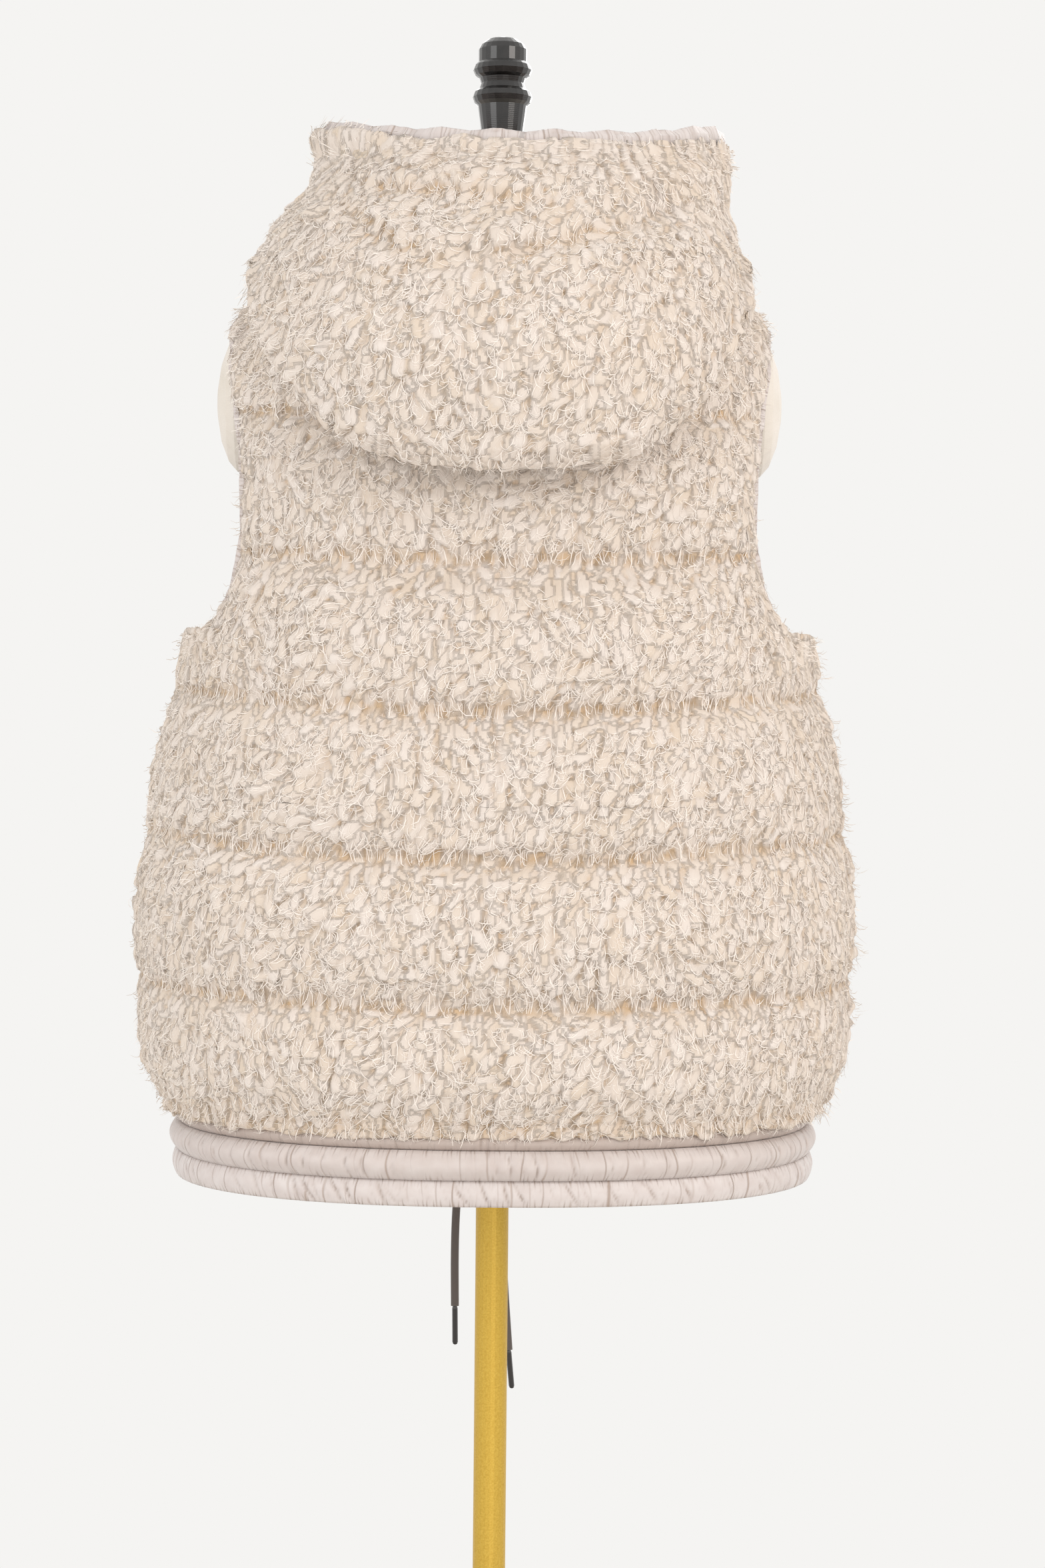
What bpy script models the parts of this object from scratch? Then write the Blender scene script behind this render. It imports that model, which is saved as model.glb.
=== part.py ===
"""Hooded puffer vest of curly fleece, worn by a dress form on a round foot.

Metres, +Z up. The vest's back faces -Y and its front faces +Y.
The origin lies on the floor, in the middle of the foot.
"""

import random
from math import asin, cos, floor, pi, radians, sin

import bmesh
import bpy
from mathutils import Vector

# Clearances
SEAM_GAP = 0.0003
SHOULDER_GAP = 0.0005

# Vest body: the crowns of its quilted channels, one row for each quilting seam and shoulder station.
# Columns: station, back height, side height, front height, half width, back depth, front depth, wall
VEST_STATIONS = (
    (0.0, 0.689, 0.689, 0.689, 0.2350, 0.1625, 0.1540, 0.026),
    (1.0, 0.777, 0.781, 0.777, 0.2450, 0.1730, 0.1640, 0.026),
    (2.0, 0.870, 0.880, 0.870, 0.2390, 0.1700, 0.1650, 0.026),
    (3.0, 0.963, 0.975, 0.963, 0.2210, 0.1640, 0.1660, 0.026),
    (4.0, 1.059, 1.065, 1.059, 0.1985, 0.1570, 0.1620, 0.024),
    (5.0, 1.153, 1.155, 1.150, 0.1965, 0.1430, 0.1410, 0.019),
    (5.4, 1.194, 1.198, 1.184, 0.1900, 0.1290, 0.1290, 0.015),
    (5.6, 1.218, 1.224, 1.200, 0.1760, 0.1150, 0.1190, 0.012),
    (5.8, 1.243, 1.244, 1.213, 0.1300, 0.0970, 0.1070, 0.012),
    (6.0, 1.267, 1.262, 1.224, 0.0880, 0.0800, 0.0930, 0.012),
)
NECK_STATION = 6.0
SECTION_POWER = 2.3
QUILT_DEPTH = 0.012
QUILT_SIDE_EASE = 0.65
QUILT_ROUNDNESS = 0.6
EDGE_WALL = 0.009
EDGE_ROLL = 0.032
HEM_ROLL_UP = 0.022

# Armholes, in stations up the body and degrees round it
ARMHOLE_LOW = 3.40
ARMHOLE_HIGH = 5.62
ARMHOLE_HALF_ANGLE = radians(23.0)
ARMHOLE_SQUARENESS = 3.0

ARMHOLE_STEPS = 32

# Rows of the panel grids, as shares of each quilted channel; the armhole's ends have rows of their own
CHANNEL_ROWS = (0.0, 0.13, 0.38, 0.62, 0.87)
ARMPIT_ROWS = (0.0, 0.13, 0.32)
SHOULDER_ROWS = (0.0, 0.14)
NECK_ROWS = (0.72, 0.82, 0.91, 1.0)
PLAIN_ROWS = (0.0, 0.5)
BACK_COLUMNS = 22
FRONT_COLUMNS = 10
PLAIN_SHARE = 2

# Hem: three casings of gathered satin, from the top one down
# Columns: name, top, bottom, half width, back depth, front depth, thickness, gathers, gather depth
HEM_CASINGS = (
    ("hem_strip", 0.6904, 0.6838, 0.2145, 0.1480, 0.1390, 0.006, 0, 0.0),
    ("hem_roll", 0.6835, 0.6648, 0.2185, 0.1525, 0.1430, 0.012, 64, 0.0022),
    ("hem_band", 0.6645, 0.6475, 0.2130, 0.1475, 0.1385, 0.006, 64, 0.0018),
)
HEM_PLAIN_COLUMNS = 48
HEM_SECTION_ROWS = 4

# Hood, hanging down the back
# Columns: degrees from the back, fold station, hollow, belly reach, belly height, lip reach, lip height,
# rim reach, rim height
HOOD_STATIONS = (
    (0.0, 4.80, 0.050, 0.207, 1.172, 0.190, 1.262, 0.146, 1.314),
    (25.0, 4.86, 0.046, 0.206, 1.180, 0.186, 1.266, 0.146, 1.316),
    (40.0, 5.10, 0.040, 0.201, 1.204, 0.179, 1.273, 0.145, 1.320),
    (52.0, 5.41, 0.035, 0.187, 1.235, 0.166, 1.282, 0.143, 1.325),
    (64.0, 5.65, 0.029, 0.168, 1.256, 0.152, 1.290, 0.139, 1.329),
    (74.0, 5.74, 0.024, 0.156, 1.266, 0.143, 1.294, 0.136, 1.330),
    (90.0, 5.77, 0.020, 0.147, 1.271, 0.133, 1.297, 0.130, 1.328),
    (120.0, 5.86, 0.018, 0.126, 1.269, 0.121, 1.290, 0.114, 1.314),
    (150.0, 6.00, 0.018, 0.104, 1.258, 0.109, 1.278, 0.107, 1.298),
    (174.0, 6.00, 0.018, 0.096, 1.252, 0.101, 1.269, 0.101, 1.286),
)
# Lean of the hood's outer layer to the right: at its fold and at its rim
HOOD_LEAN = (0.0, 0.0130)
HOOD_LEAN_HEIGHTS = (1.255, 1.320)
HOOD_WALL = 0.012
HOOD_SEAM_WALL = 0.006
HOOD_REST = 0.0050
HOOD_BEND_SHARE = 0.42
HOOD_FRONT_ANGLE = 174.0
HOOD_COLUMNS = 48
HOOD_UNDER_POINTS = 4
HOOD_ROWS = 25

# Largest folds of the hood, as seen from behind
# Columns: start across, start height, middle across, middle height, end across, end height, depth, half width
HOOD_FOLDS = (
    (-0.112, 1.298, -0.030, 1.274, 0.045, 1.280, 0.009, 0.011),
    (0.127, 1.280, 0.060, 1.277, -0.006, 1.240, 0.011, 0.012),
    (-0.100, 1.288, -0.072, 1.250, -0.003, 1.242, 0.009, 0.012),
)
FOLD_STEPS = 16

# Satin edges of the hood and the armholes
HOOD_EDGE_HEIGHT = 0.012
HOOD_EDGE_WALL = 0.005
HOOD_EDGE_LIFT = 0.0006
HOOD_EDGE_WAVE_DEPTH = 0.0015
ARM_EDGE_REACH = 0.0030
ARM_EDGE_HALF_WALL = 0.0048
ARM_EDGE_SIDES = 6
ARM_EDGE_WAVE_DEPTH = 0.0010

# Front zip
ZIP_HALF_WIDTH = 0.0075
ZIP_TAPE_WALL = 0.0014
ZIP_TAPE_SINK = 0.006
ZIP_BOTTOM = 0.6475
ZIP_SLIDER_STATION = 5.9
SLIDER_SIZE = (0.0086, 0.0040, 0.0120)
SLIDER_LIFT = 0.0006
BAIL_SIZE = (0.0030, 0.0026, 0.0040)
PULL_SIZE = (0.0066, 0.0016, 0.0286)
PULL_TOP = 0.0006
PULL_NOTCH = (0.0036, 0.0045)
PULL_CLEARANCE = 0.0004

# Drawcord ends at the front of the hem: x, y, z of each route's own points, from the hem down
CORD_WIDTH = 0.0058
CORD_TIP_WIDTH = 0.0040
CORD_TIP_LENGTH = 0.028
CORD_STEPS = 3
CORD_SIDES = 8
CORD_ROUTES = {
    "left": (
        (-0.0240, 0.1350, 0.6470),
        (-0.0243, 0.1342, 0.6200),
        (-0.0262, 0.1346, 0.5900),
        (-0.0268, 0.1350, 0.5600),
        (-0.0264, 0.1352, 0.5236),
    ),
    "right": (
        (0.0060, 0.1350, 0.6470),
        (0.0061, 0.1342, 0.6150),
        (0.0070, 0.1345, 0.5800),
        (0.0092, 0.1350, 0.5400),
        (0.0128, 0.1356, 0.4917),
    ),
}
CORD_TIP_LEAN = {"left": 0.0004, "right": 0.0026}

# Dress form: the torso below its shoulders, from its flat underside up
# Columns: height, half width, back depth, front depth
TORSO_SECTIONS = (
    (0.700, 0.1580, 0.112, 0.104),
    (0.715, 0.1660, 0.119, 0.109),
    (0.760, 0.1690, 0.124, 0.110),
    (0.810, 0.1590, 0.114, 0.106),
    (0.865, 0.1260, 0.092, 0.096),
    (0.920, 0.1280, 0.094, 0.104),
    (0.975, 0.1400, 0.102, 0.122),
    (1.020, 0.1470, 0.106, 0.130),
    (1.070, 0.1500, 0.106, 0.122),
    (1.120, 0.1560, 0.103, 0.108),
    (1.165, 0.1620, 0.096, 0.096),
)
# Shoulder rows lie under the vest's shoulder seam; columns: vest station, back depth, front depth
TORSO_SHOULDERS = ((5.45, 0.088, 0.086), (5.6, 0.080, 0.080), (5.8, 0.068, 0.068), (6.0, 0.060, 0.060))
NECK_SECTIONS = ((1.276, 0.0600, 0.057, 0.055), (1.303, 0.0560, 0.055, 0.053), (1.3297, 0.0550, 0.054, 0.052))
TORSO_COLUMNS = 32
ARM_FACE = 0.1500

# Arm plates that close the form's armholes
PLATE_HEIGHT = 1.163
PLATE_DEPTH_OFFSET = -0.004
PLATE_HALF_HEIGHT = 0.0475
PLATE_HALF_DEPTH = 0.038
PLATE_RIM = 0.0205
PLATE_DOME = 0.0180
PLATE_COLUMNS = 24
# Columns: share of the plate's half height, share of the dome's rise
PLATE_DOME_ROWS = ((1.0, 0.0), (0.96, 0.25), (0.82, 0.57), (0.56, 0.83), (0.22, 0.98))

# Stand
FINIAL_BASE = 1.330
# Columns: height above the finial's base, radius
FINIAL_PROFILE = (
    (0.0000, 0.0118), (0.0330, 0.0163), (0.0350, 0.0187), (0.0385, 0.0199), (0.0420, 0.0187),
    (0.0442, 0.0156), (0.0478, 0.0143), (0.0512, 0.0154), (0.0530, 0.0182), (0.0564, 0.0197),
    (0.0598, 0.0184), (0.0620, 0.0161), (0.0702, 0.0161), (0.0736, 0.0142), (0.0770, 0.0095),
)
FINIAL_TOP = 0.0790
POLE_RADIUS = 0.0111
# Columns: height above the floor, radius
FOOT_PROFILE = (
    (0.0000, 0.1550), (0.0060, 0.1550), (0.0095, 0.1520), (0.0120, 0.1440),
    (0.0150, 0.0400), (0.0175, 0.0260), (0.0230, 0.0195), (0.0380, 0.0180),
)
TURNED_COLUMNS = 24

# Columns: name, colour, roughness, metallic
MATERIALS = {
    "curly_fleece": ((0.80, 0.68, 0.57), 0.95, 0.0),
    "gathered_satin": ((0.76, 0.66, 0.62), 0.38, 0.0),
    "zip_tape": ((0.74, 0.64, 0.58), 0.80, 0.0),
    "zip_metal": ((0.70, 0.66, 0.62), 0.30, 1.0),
    "dark_cord": ((0.050, 0.043, 0.043), 0.80, 0.0),
    "cord_tip": ((0.070, 0.060, 0.060), 0.45, 0.0),
    "form_linen": ((0.84, 0.77, 0.68), 0.90, 0.0),
    "black_wood": ((0.035, 0.032, 0.030), 0.40, 0.0),
    "gold_paint": ((0.58, 0.40, 0.055), 0.40, 0.6),
}


# Curves through tables

def smooth_row(rows, at):
    """The other columns of a table at this value of its first column, on a smooth curve through its rows."""
    last = len(rows) - 1
    i = 0
    while i < last - 1 and rows[i + 1][0] < at:
        i += 1
    low, high = rows[i], rows[i + 1]
    span = high[0] - low[0]
    share = (at - low[0]) / span
    before, after = rows[max(i - 1, 0)], rows[min(i + 2, last)]
    made = []
    for column in range(1, len(low)):
        start, end = low[column], high[column]
        start_slope = (end - before[column]) / (high[0] - before[0]) * span
        end_slope = (after[column] - start) / (after[0] - low[0]) * span
        made.append(
            (2 * share**3 - 3 * share**2 + 1) * start
            + (share**3 - 2 * share**2 + share) * start_slope
            + (3 * share**2 - 2 * share**3) * end
            + (share**3 - share**2) * end_slope
        )
    return made


def smooth_line(points, count):
    """Points evenly counted along a smooth curve through the given ones."""
    rows = [(i, *p) for i, p in enumerate(points)]
    return [Vector(smooth_row(rows, i * (len(points) - 1) / (count - 1))) for i in range(count)]


def eased(share):
    share = min(max(share, 0.0), 1.0)
    return share * share * (3 - 2 * share)


def ring_reach(angle, half_width, back, front):
    """Distance from the axis to an oval section, in this direction."""
    depth = front if sin(angle) >= 0 else back
    across = abs(cos(angle) / half_width) ** SECTION_POWER
    along = abs(sin(angle) / depth) ** SECTION_POWER
    return (across + along) ** (-1 / SECTION_POWER)


# Solids from rows of points

def new_object(name, bm, material):
    mesh = bpy.data.meshes.new(name)
    bmesh.ops.recalc_face_normals(bm, faces=bm.faces)
    bm.to_mesh(mesh)
    bm.free()
    mesh.shade_smooth()
    mesh.set_sharp_from_angle(angle=radians(50))
    mesh.materials.append(MADE_MATERIALS[material])
    made = bpy.data.objects.new(name, mesh)
    bpy.context.scene.collection.objects.link(made)
    return made


def add_skin(bm, rows):
    for low, high in zip(rows, rows[1:]):
        for i in range(len(low) - 1):
            bm.faces.new((low[i], low[i + 1], high[i + 1], high[i]))


def shares_along(line):
    lengths = [0.0]
    for a, b in zip(line, line[1:]):
        lengths.append(lengths[-1] + (b.co - a.co).length)
    return [length / lengths[-1] for length in lengths]


def join_edges(bm, first, second):
    """Fills the strip between two lines of vertices whose ends lie together."""
    first_at, second_at = shares_along(first), shares_along(second)
    i = j = 0
    while i < len(first) - 1 or j < len(second) - 1:
        second_done = j == len(second) - 1
        if second_done or (i < len(first) - 1 and first_at[i + 1] <= second_at[j + 1]):
            bm.faces.new((first[i], first[i + 1], second[j]))
            i += 1
        else:
            bm.faces.new((first[i], second[j + 1], second[j]))
            j += 1


def add_wall(name, outer, inner, material):
    """A closed wall between two grids of points, with rims along their four edges."""
    bm = bmesh.new()
    outer = [[bm.verts.new(p) for p in row] for row in outer]
    inner = [[bm.verts.new(p) for p in row] for row in inner]
    add_skin(bm, outer)
    add_skin(bm, inner)
    join_edges(bm, outer[0], inner[0])
    join_edges(bm, outer[-1], inner[-1])
    join_edges(bm, [row[0] for row in outer], [row[0] for row in inner])
    join_edges(bm, [row[-1] for row in outer], [row[-1] for row in inner])
    return new_object(name, bm, material)


def add_loft(name, rings, material):
    """A closed solid through rings of points, with flat ends."""
    bm = bmesh.new()
    rings = [[bm.verts.new(p) for p in ring] for ring in rings]
    for low, high in zip(rings, rings[1:]):
        for i in range(len(low)):
            after = (i + 1) % len(low)
            bm.faces.new((low[i], low[after], high[after], high[i]))
    bm.faces.new(rings[0])
    bm.faces.new(rings[-1])
    return new_object(name, bm, material)


def add_loop_tube(name, sections, material):
    """A closed tube through sections that come back to the first one."""
    bm = bmesh.new()
    sections = [[bm.verts.new(p) for p in section] for section in sections]
    for this, following in zip(sections, sections[1:] + sections[:1]):
        for i in range(len(this)):
            after = (i + 1) % len(this)
            bm.faces.new((this[i], this[after], following[after], following[i]))
    return new_object(name, bm, material)


def add_turned(name, profile, tip_height, base, material):
    """A turned solid: profile rows of height and radius, with an optional point on top."""
    bm = bmesh.new()
    rings = []
    for height, radius in profile:
        turn = [2 * pi * i / TURNED_COLUMNS for i in range(TURNED_COLUMNS)]
        rings.append([bm.verts.new((radius * cos(t), radius * sin(t), base + height)) for t in turn])
    for low, high in zip(rings, rings[1:]):
        for i in range(TURNED_COLUMNS):
            after = (i + 1) % TURNED_COLUMNS
            bm.faces.new((low[i], low[after], high[after], high[i]))
    bm.faces.new(rings[0])
    if tip_height is None:
        bm.faces.new(rings[-1])
    else:
        tip = bm.verts.new((0, 0, base + tip_height))
        for i in range(TURNED_COLUMNS):
            bm.faces.new((rings[-1][i], rings[-1][(i + 1) % TURNED_COLUMNS], tip))
    return new_object(name, bm, material)


# Vest body

def vest_crown(station, angle):
    """Point on the smooth surface over the crowns of the quilted channels."""
    back_z, side_z, front_z, half_width, back, front, _ = smooth_row(VEST_STATIONS, station)
    reach = ring_reach(angle, half_width, back, front)
    end_z = front_z if sin(angle) >= 0 else back_z
    height = side_z + (end_z - side_z) * sin(angle) ** 2
    return Vector((reach * cos(angle), reach * sin(angle), height))


def vest_normal(station, angle):
    step = 0.01
    up = vest_crown(min(station + step, NECK_STATION), angle) - vest_crown(station - step, angle)
    round_it = vest_crown(station, angle + step) - vest_crown(station, angle - step)
    return round_it.cross(up).normalized()


def vest_wall(station):
    return smooth_row(VEST_STATIONS, station)[-1]


def armhole_angle(station):
    """Half the armhole's width at this station, as an angle round the body."""
    middle = (ARMHOLE_LOW + ARMHOLE_HIGH) / 2
    share = abs(station - middle) / (ARMHOLE_HIGH - middle)
    power = ARMHOLE_SQUARENESS if station < middle else 2.0
    return ARMHOLE_HALF_ANGLE * max(0.0, 1 - share**power) ** (1 / power)


def edge_sink(station, distance, roll):
    """How far the crown is drawn down at this distance from a sewn edge, over the width of its roll."""
    return (vest_wall(station) - EDGE_WALL) * (1 - eased(distance / roll))


def vest_outer(station, angle, edges):
    """Quilted outer point; edges holds the angles of the sewn edges on this row."""
    crown = vest_crown(station, angle)
    channel = station - floor(station)
    deepest = min(QUILT_DEPTH, vest_wall(station) - EDGE_WALL)
    deepest *= 1 - QUILT_SIDE_EASE * cos(angle) ** 4
    sinks = [deepest * (1 - sin(pi * channel) ** QUILT_ROUNDNESS)]
    reach = Vector((crown.x, crown.y)).length
    sinks += [edge_sink(station, abs(angle - edge) * reach, EDGE_ROLL) for edge in edges]
    sinks.append(edge_sink(station, crown.z - vest_crown(0.0, angle).z, HEM_ROLL_UP))
    sinks.append(edge_sink(station, (vest_crown(NECK_STATION, angle) - crown).length, EDGE_ROLL))
    return crown - vest_normal(station, angle) * max(sinks)


def vest_inner(station, angle):
    return vest_crown(station, angle) - vest_normal(station, angle) * vest_wall(station)


def armhole_station(step):
    """Station of one of the armhole's even steps, counted round it from the front middle."""
    middle = (ARMHOLE_LOW + ARMHOLE_HIGH) / 2
    rise = sin(2 * pi * step / ARMHOLE_STEPS)
    if rise < 0:
        rise = -(abs(rise) ** (2 / ARMHOLE_SQUARENESS))
    return middle + (ARMHOLE_HIGH - middle) * rise


def panel_rows(first_rows):
    """Stations of a panel's rows: the armhole's own steps, and first_rows in the other channels."""
    quarter, eighth = ARMHOLE_STEPS // 4, ARMHOLE_STEPS // 8
    rows = [channel + share for channel in range(3) for share in first_rows]
    rows += [3 + share for share in ARMPIT_ROWS]
    rows += [armhole_station(step) for step in range(-quarter, -eighth + 2)]
    rows += [4 + share for share in CHANNEL_ROWS]
    rows += [5 + share for share in SHOULDER_ROWS]
    rows += [armhole_station(step) for step in range(eighth, quarter + 1)]
    return rows + [5 + share for share in NECK_ROWS]


def panel_grids(left_edge, right_edge, sewn_edges, columns, shift):
    """Outer and inner grids of a panel between two edges, each a function from station to angle."""
    def angles(station, count):
        left, right = left_edge(station), right_edge(station)
        return [left + (right - left) * i / count for i in range(count + 1)]

    move = Vector((0, shift, 0))
    outer = [
        [vest_outer(s, a, sewn_edges(s)) + move for a in angles(s, columns)]
        for s in panel_rows(CHANNEL_ROWS)
    ]
    inner = [
        [vest_inner(s, a) + move for a in angles(s, columns // PLAIN_SHARE)]
        for s in panel_rows(PLAIN_ROWS)
    ]
    return outer, inner


def zip_edge_angle(station):
    """Angle of a front panel's edge beside the zip."""
    front = vest_crown(station, pi / 2).y
    return pi / 2 - asin((ZIP_HALF_WIDTH + SEAM_GAP) / front)


def add_body():
    """Back and two fronts; the left front mirrors the right one."""
    def armhole_edges(station, *angles):
        return list(angles) if armhole_angle(station) > 0 else []

    back = panel_grids(
        lambda s: pi + armhole_angle(s),
        lambda s: 2 * pi - armhole_angle(s),
        lambda s: armhole_edges(s, pi + armhole_angle(s), 2 * pi - armhole_angle(s)),
        BACK_COLUMNS,
        -SEAM_GAP / 2,
    )
    right = panel_grids(
        armhole_angle,
        zip_edge_angle,
        lambda s: armhole_edges(s, armhole_angle(s)) + [zip_edge_angle(s)],
        FRONT_COLUMNS,
        SEAM_GAP / 2,
    )
    left = [[[Vector((-p.x, p.y, p.z)) for p in reversed(row)] for row in grid] for grid in right]
    add_wall("back_panel", *back, "curly_fleece")
    add_wall("front_right", *right, "curly_fleece")
    add_wall("front_left", *left, "curly_fleece")


# Satin edges and hem

def add_armhole_edge(side, sign):
    """Gathered satin edge: a flat tube just inside the rim of the armhole."""
    outer, inner = [], []
    for step in range(ARMHOLE_STEPS):
        station = armhole_station(step)
        angle = armhole_angle(station)
        if cos(2 * pi * step / ARMHOLE_STEPS) < 0:
            angle = -angle
        outer.append(vest_outer(station, angle, [angle]))
        inner.append(vest_inner(station, angle))
    middles = [a.lerp(b, 0.5) for a, b in zip(outer, inner)]
    centre = sum(middles, Vector()) / len(middles)
    sections = []
    for i, middle in enumerate(middles):
        along = (middles[(i + 1) % ARMHOLE_STEPS] - middles[i - 1]).normalized()
        across = (outer[i] - inner[i]).normalized()
        inward = along.cross(across).normalized()
        if inward.dot(centre - middle) < 0:
            inward.negate()
        across = inward.cross(along).normalized()
        wave = ARM_EDGE_WAVE_DEPTH if i % 2 else 0.0
        seat = middle + inward * (ARM_EDGE_REACH + 2 * SEAM_GAP)
        section = []
        for k in range(ARM_EDGE_SIDES):
            turn = 2 * pi * (k + 0.5) / ARM_EDGE_SIDES
            point = seat + inward * cos(turn) * ARM_EDGE_REACH
            point += across * sin(turn) * (ARM_EDGE_HALF_WALL - wave)
            section.append(Vector((sign * point.x, point.y, point.z)))
        sections.append(section)
    add_loop_tube("armhole_edge_" + side, sections, "gathered_satin")


def gather_turns(count, seed):
    """Shares of the way round for the folds of a gathered casing: uneven, two for each gather."""
    chance = random.Random(seed)
    steps = [chance.uniform(0.7, 1.3) for _ in range(2 * count)]
    total, at, shares = sum(steps), 0.0, [0.0]
    for step in steps:
        at += step
        shares.append(at / total)
    return shares


def add_hem():
    for seed, casing in enumerate(HEM_CASINGS):
        name, top, bottom, half_width, back, front, thickness, gathers, depth = casing
        start = pi / 2 + asin((ZIP_HALF_WIDTH + SEAM_GAP) / (front - thickness))
        sweep = 2 * pi - 2 * (start - pi / 2)
        plain = [i / HEM_PLAIN_COLUMNS for i in range(HEM_PLAIN_COLUMNS + 1)]
        shares = gather_turns(gathers, seed) if gathers else plain

        def point(share, sink, height):
            angle = start + sweep * share
            reach = ring_reach(angle, half_width, back, front) - sink
            return Vector((reach * cos(angle), reach * sin(angle), height))

        outer = []
        section_rows = HEM_SECTION_ROWS if gathers else 2
        for row in range(section_rows):
            up = row / (section_rows - 1)
            roll = thickness * 0.55 * (1 - sin(pi * (0.12 + 0.76 * up)))
            fold = depth * sin(pi * (0.10 + 0.80 * up))
            height = bottom + (top - bottom) * up
            outer.append([point(s, roll + (fold if i % 2 else 0), height) for i, s in enumerate(shares)])
        inner = [[point(s, thickness, height) for s in plain] for height in (bottom, top)]
        add_wall(name, outer, inner, "gathered_satin")


# Hood

def fold_sink(point):
    """How far the hood's largest folds draw in a point of its outer layer, seen from behind."""
    sink = 0.0
    for start_x, start_z, middle_x, middle_z, end_x, end_z, depth, half_width in HOOD_FOLDS:
        nearest, at = None, 0.0
        for i in range(FOLD_STEPS + 1):
            t = i / FOLD_STEPS
            x = (1 - t) ** 2 * start_x + 2 * t * (1 - t) * middle_x + t * t * end_x
            z = (1 - t) ** 2 * start_z + 2 * t * (1 - t) * middle_z + t * t * end_z
            distance = (point.x - x) ** 2 + (point.z - z) ** 2
            if nearest is None or distance < nearest:
                nearest, at = distance, t
        fade = eased(at / 0.15) * eased((1 - at) / 0.15)
        spread = max(0.0, 1 - nearest / (2 * half_width) ** 2)
        sink = max(sink, depth * spread * spread * (0.4 + 0.6 * fade))
    return sink


def hood_profile(degrees):
    """The hood's middle surface in one direction, from the neck seam over the fold to the rim."""
    turn = radians(abs(degrees))
    columns = smooth_row(HOOD_STATIONS, abs(degrees))
    fold, hollow, belly_r, belly_z, lip_r, lip_z, rim_r, rim_z = columns
    angle = turn - pi / 2
    fold = min(fold, NECK_STATION - 0.01)
    pouch = eased((NECK_STATION - fold) / 0.16)

    def at(reach, height):
        return Vector((reach * sin(turn), -reach * cos(turn), height))

    def over_vest(station):
        return vest_crown(station, angle) + vest_normal(station, angle) * (HOOD_WALL / 2 + HOOD_REST)

    neck = vest_outer(NECK_STATION, angle, [])
    normal = vest_normal(NECK_STATION, angle)
    belly = at(belly_r, belly_z)
    foot = neck + at(-0.002, SEAM_GAP)
    standing = [foot, foot + Vector((0, 0, 0.006))]
    standing += [standing[-1].lerp(belly, share) for share in (0.2, 0.4, 0.6, 0.8)]
    hanging = [neck + normal * (HOOD_SEAM_WALL / 2 + SEAM_GAP)]
    for i in range(1, HOOD_UNDER_POINTS + 1):
        hanging.append(over_vest(NECK_STATION + (fold - NECK_STATION) * i / HOOD_UNDER_POINTS))
    normal = vest_normal(fold, angle)
    down = (over_vest(fold) - over_vest(fold + 0.05)).normalized()
    hanging.append(hanging[-1] + (normal + down) * hollow / 2)
    points = [a.lerp(b, pouch) for a, b in zip(standing, hanging)]
    points += [belly, at((belly_r + lip_r) / 2 + 0.002, (belly_z + lip_z) / 2)]
    points += [at(lip_r, lip_z), at(rim_r, rim_z)]
    line = smooth_line(points, HOOD_ROWS)
    for row, p in enumerate(line):
        if degrees < 0:
            p.x = -p.x
        share = eased((p.z - HOOD_LEAN_HEIGHTS[0]) / (HOOD_LEAN_HEIGHTS[1] - HOOD_LEAN_HEIGHTS[0]))
        outer_layer = eased(3 * row / HOOD_ROWS - 1.2) * eased((150 - abs(degrees)) / 60)
        p.x += outer_layer * (HOOD_LEAN[0] + (HOOD_LEAN[1] - HOOD_LEAN[0]) * share)
    return line


def grid_normals(grid):
    """Unit normals of a grid of points, away from the hood's hollow."""
    rows, columns = len(grid), len(grid[0])
    normals = []
    for r in range(rows):
        line = []
        for c in range(columns):
            along = grid[min(r + 1, rows - 1)][c] - grid[max(r - 1, 0)][c]
            round_it = grid[r][min(c + 1, columns - 1)] - grid[r][max(c - 1, 0)]
            line.append(round_it.cross(along).normalized())
        normals.append(line)
    return normals


def bend_room(grid, normals, row, column, side):
    """How thick the wall may be on this side of a bend before it would cross itself."""
    row = min(max(row, 1), len(grid) - 2)
    before, here, after = grid[row - 1][column], grid[row][column], grid[row + 1][column]
    length = ((here - before).length + (after - here).length) / 2
    bend = side * (before + after - 2 * here).dot(normals[row][column]) / length**2
    return HOOD_BEND_SHARE / bend if bend > 0 else HOOD_WALL


def add_hood():
    """The hood's wall, and the gathered satin edge that stands on its rim."""
    turns = [HOOD_FRONT_ANGLE * (2 * i / HOOD_COLUMNS - 1) for i in range(HOOD_COLUMNS + 1)]
    middle = list(map(list, zip(*[hood_profile(turn) for turn in turns])))
    normals = grid_normals(middle)
    first_outer_row = HOOD_ROWS * 5 // 9
    for r in range(first_outer_row, HOOD_ROWS):
        for c, normal in enumerate(normals[r]):
            if middle[r][c].y < 0:
                middle[r][c] = middle[r][c] - normal * fold_sink(middle[r][c])
    normals = grid_normals(middle)

    def moved(side, rows):
        made = []
        for r in rows:
            half = (HOOD_SEAM_WALL + (HOOD_WALL - HOOD_SEAM_WALL) * eased(3 * r / HOOD_ROWS)) / 2
            line = []
            for c, (p, n) in enumerate(zip(middle[r], normals[r])):
                near = [bend_room(middle, normals, k, c, side) for k in (r - 1, r, r + 1)]
                line.append(p + n * side * min(half, *near))
            made.append(line)
        return made

    add_wall("hood", moved(1, range(HOOD_ROWS)), moved(-1, range(0, HOOD_ROWS, 2)), "curly_fleece")
    add_hood_edge(middle, normals)


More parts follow.
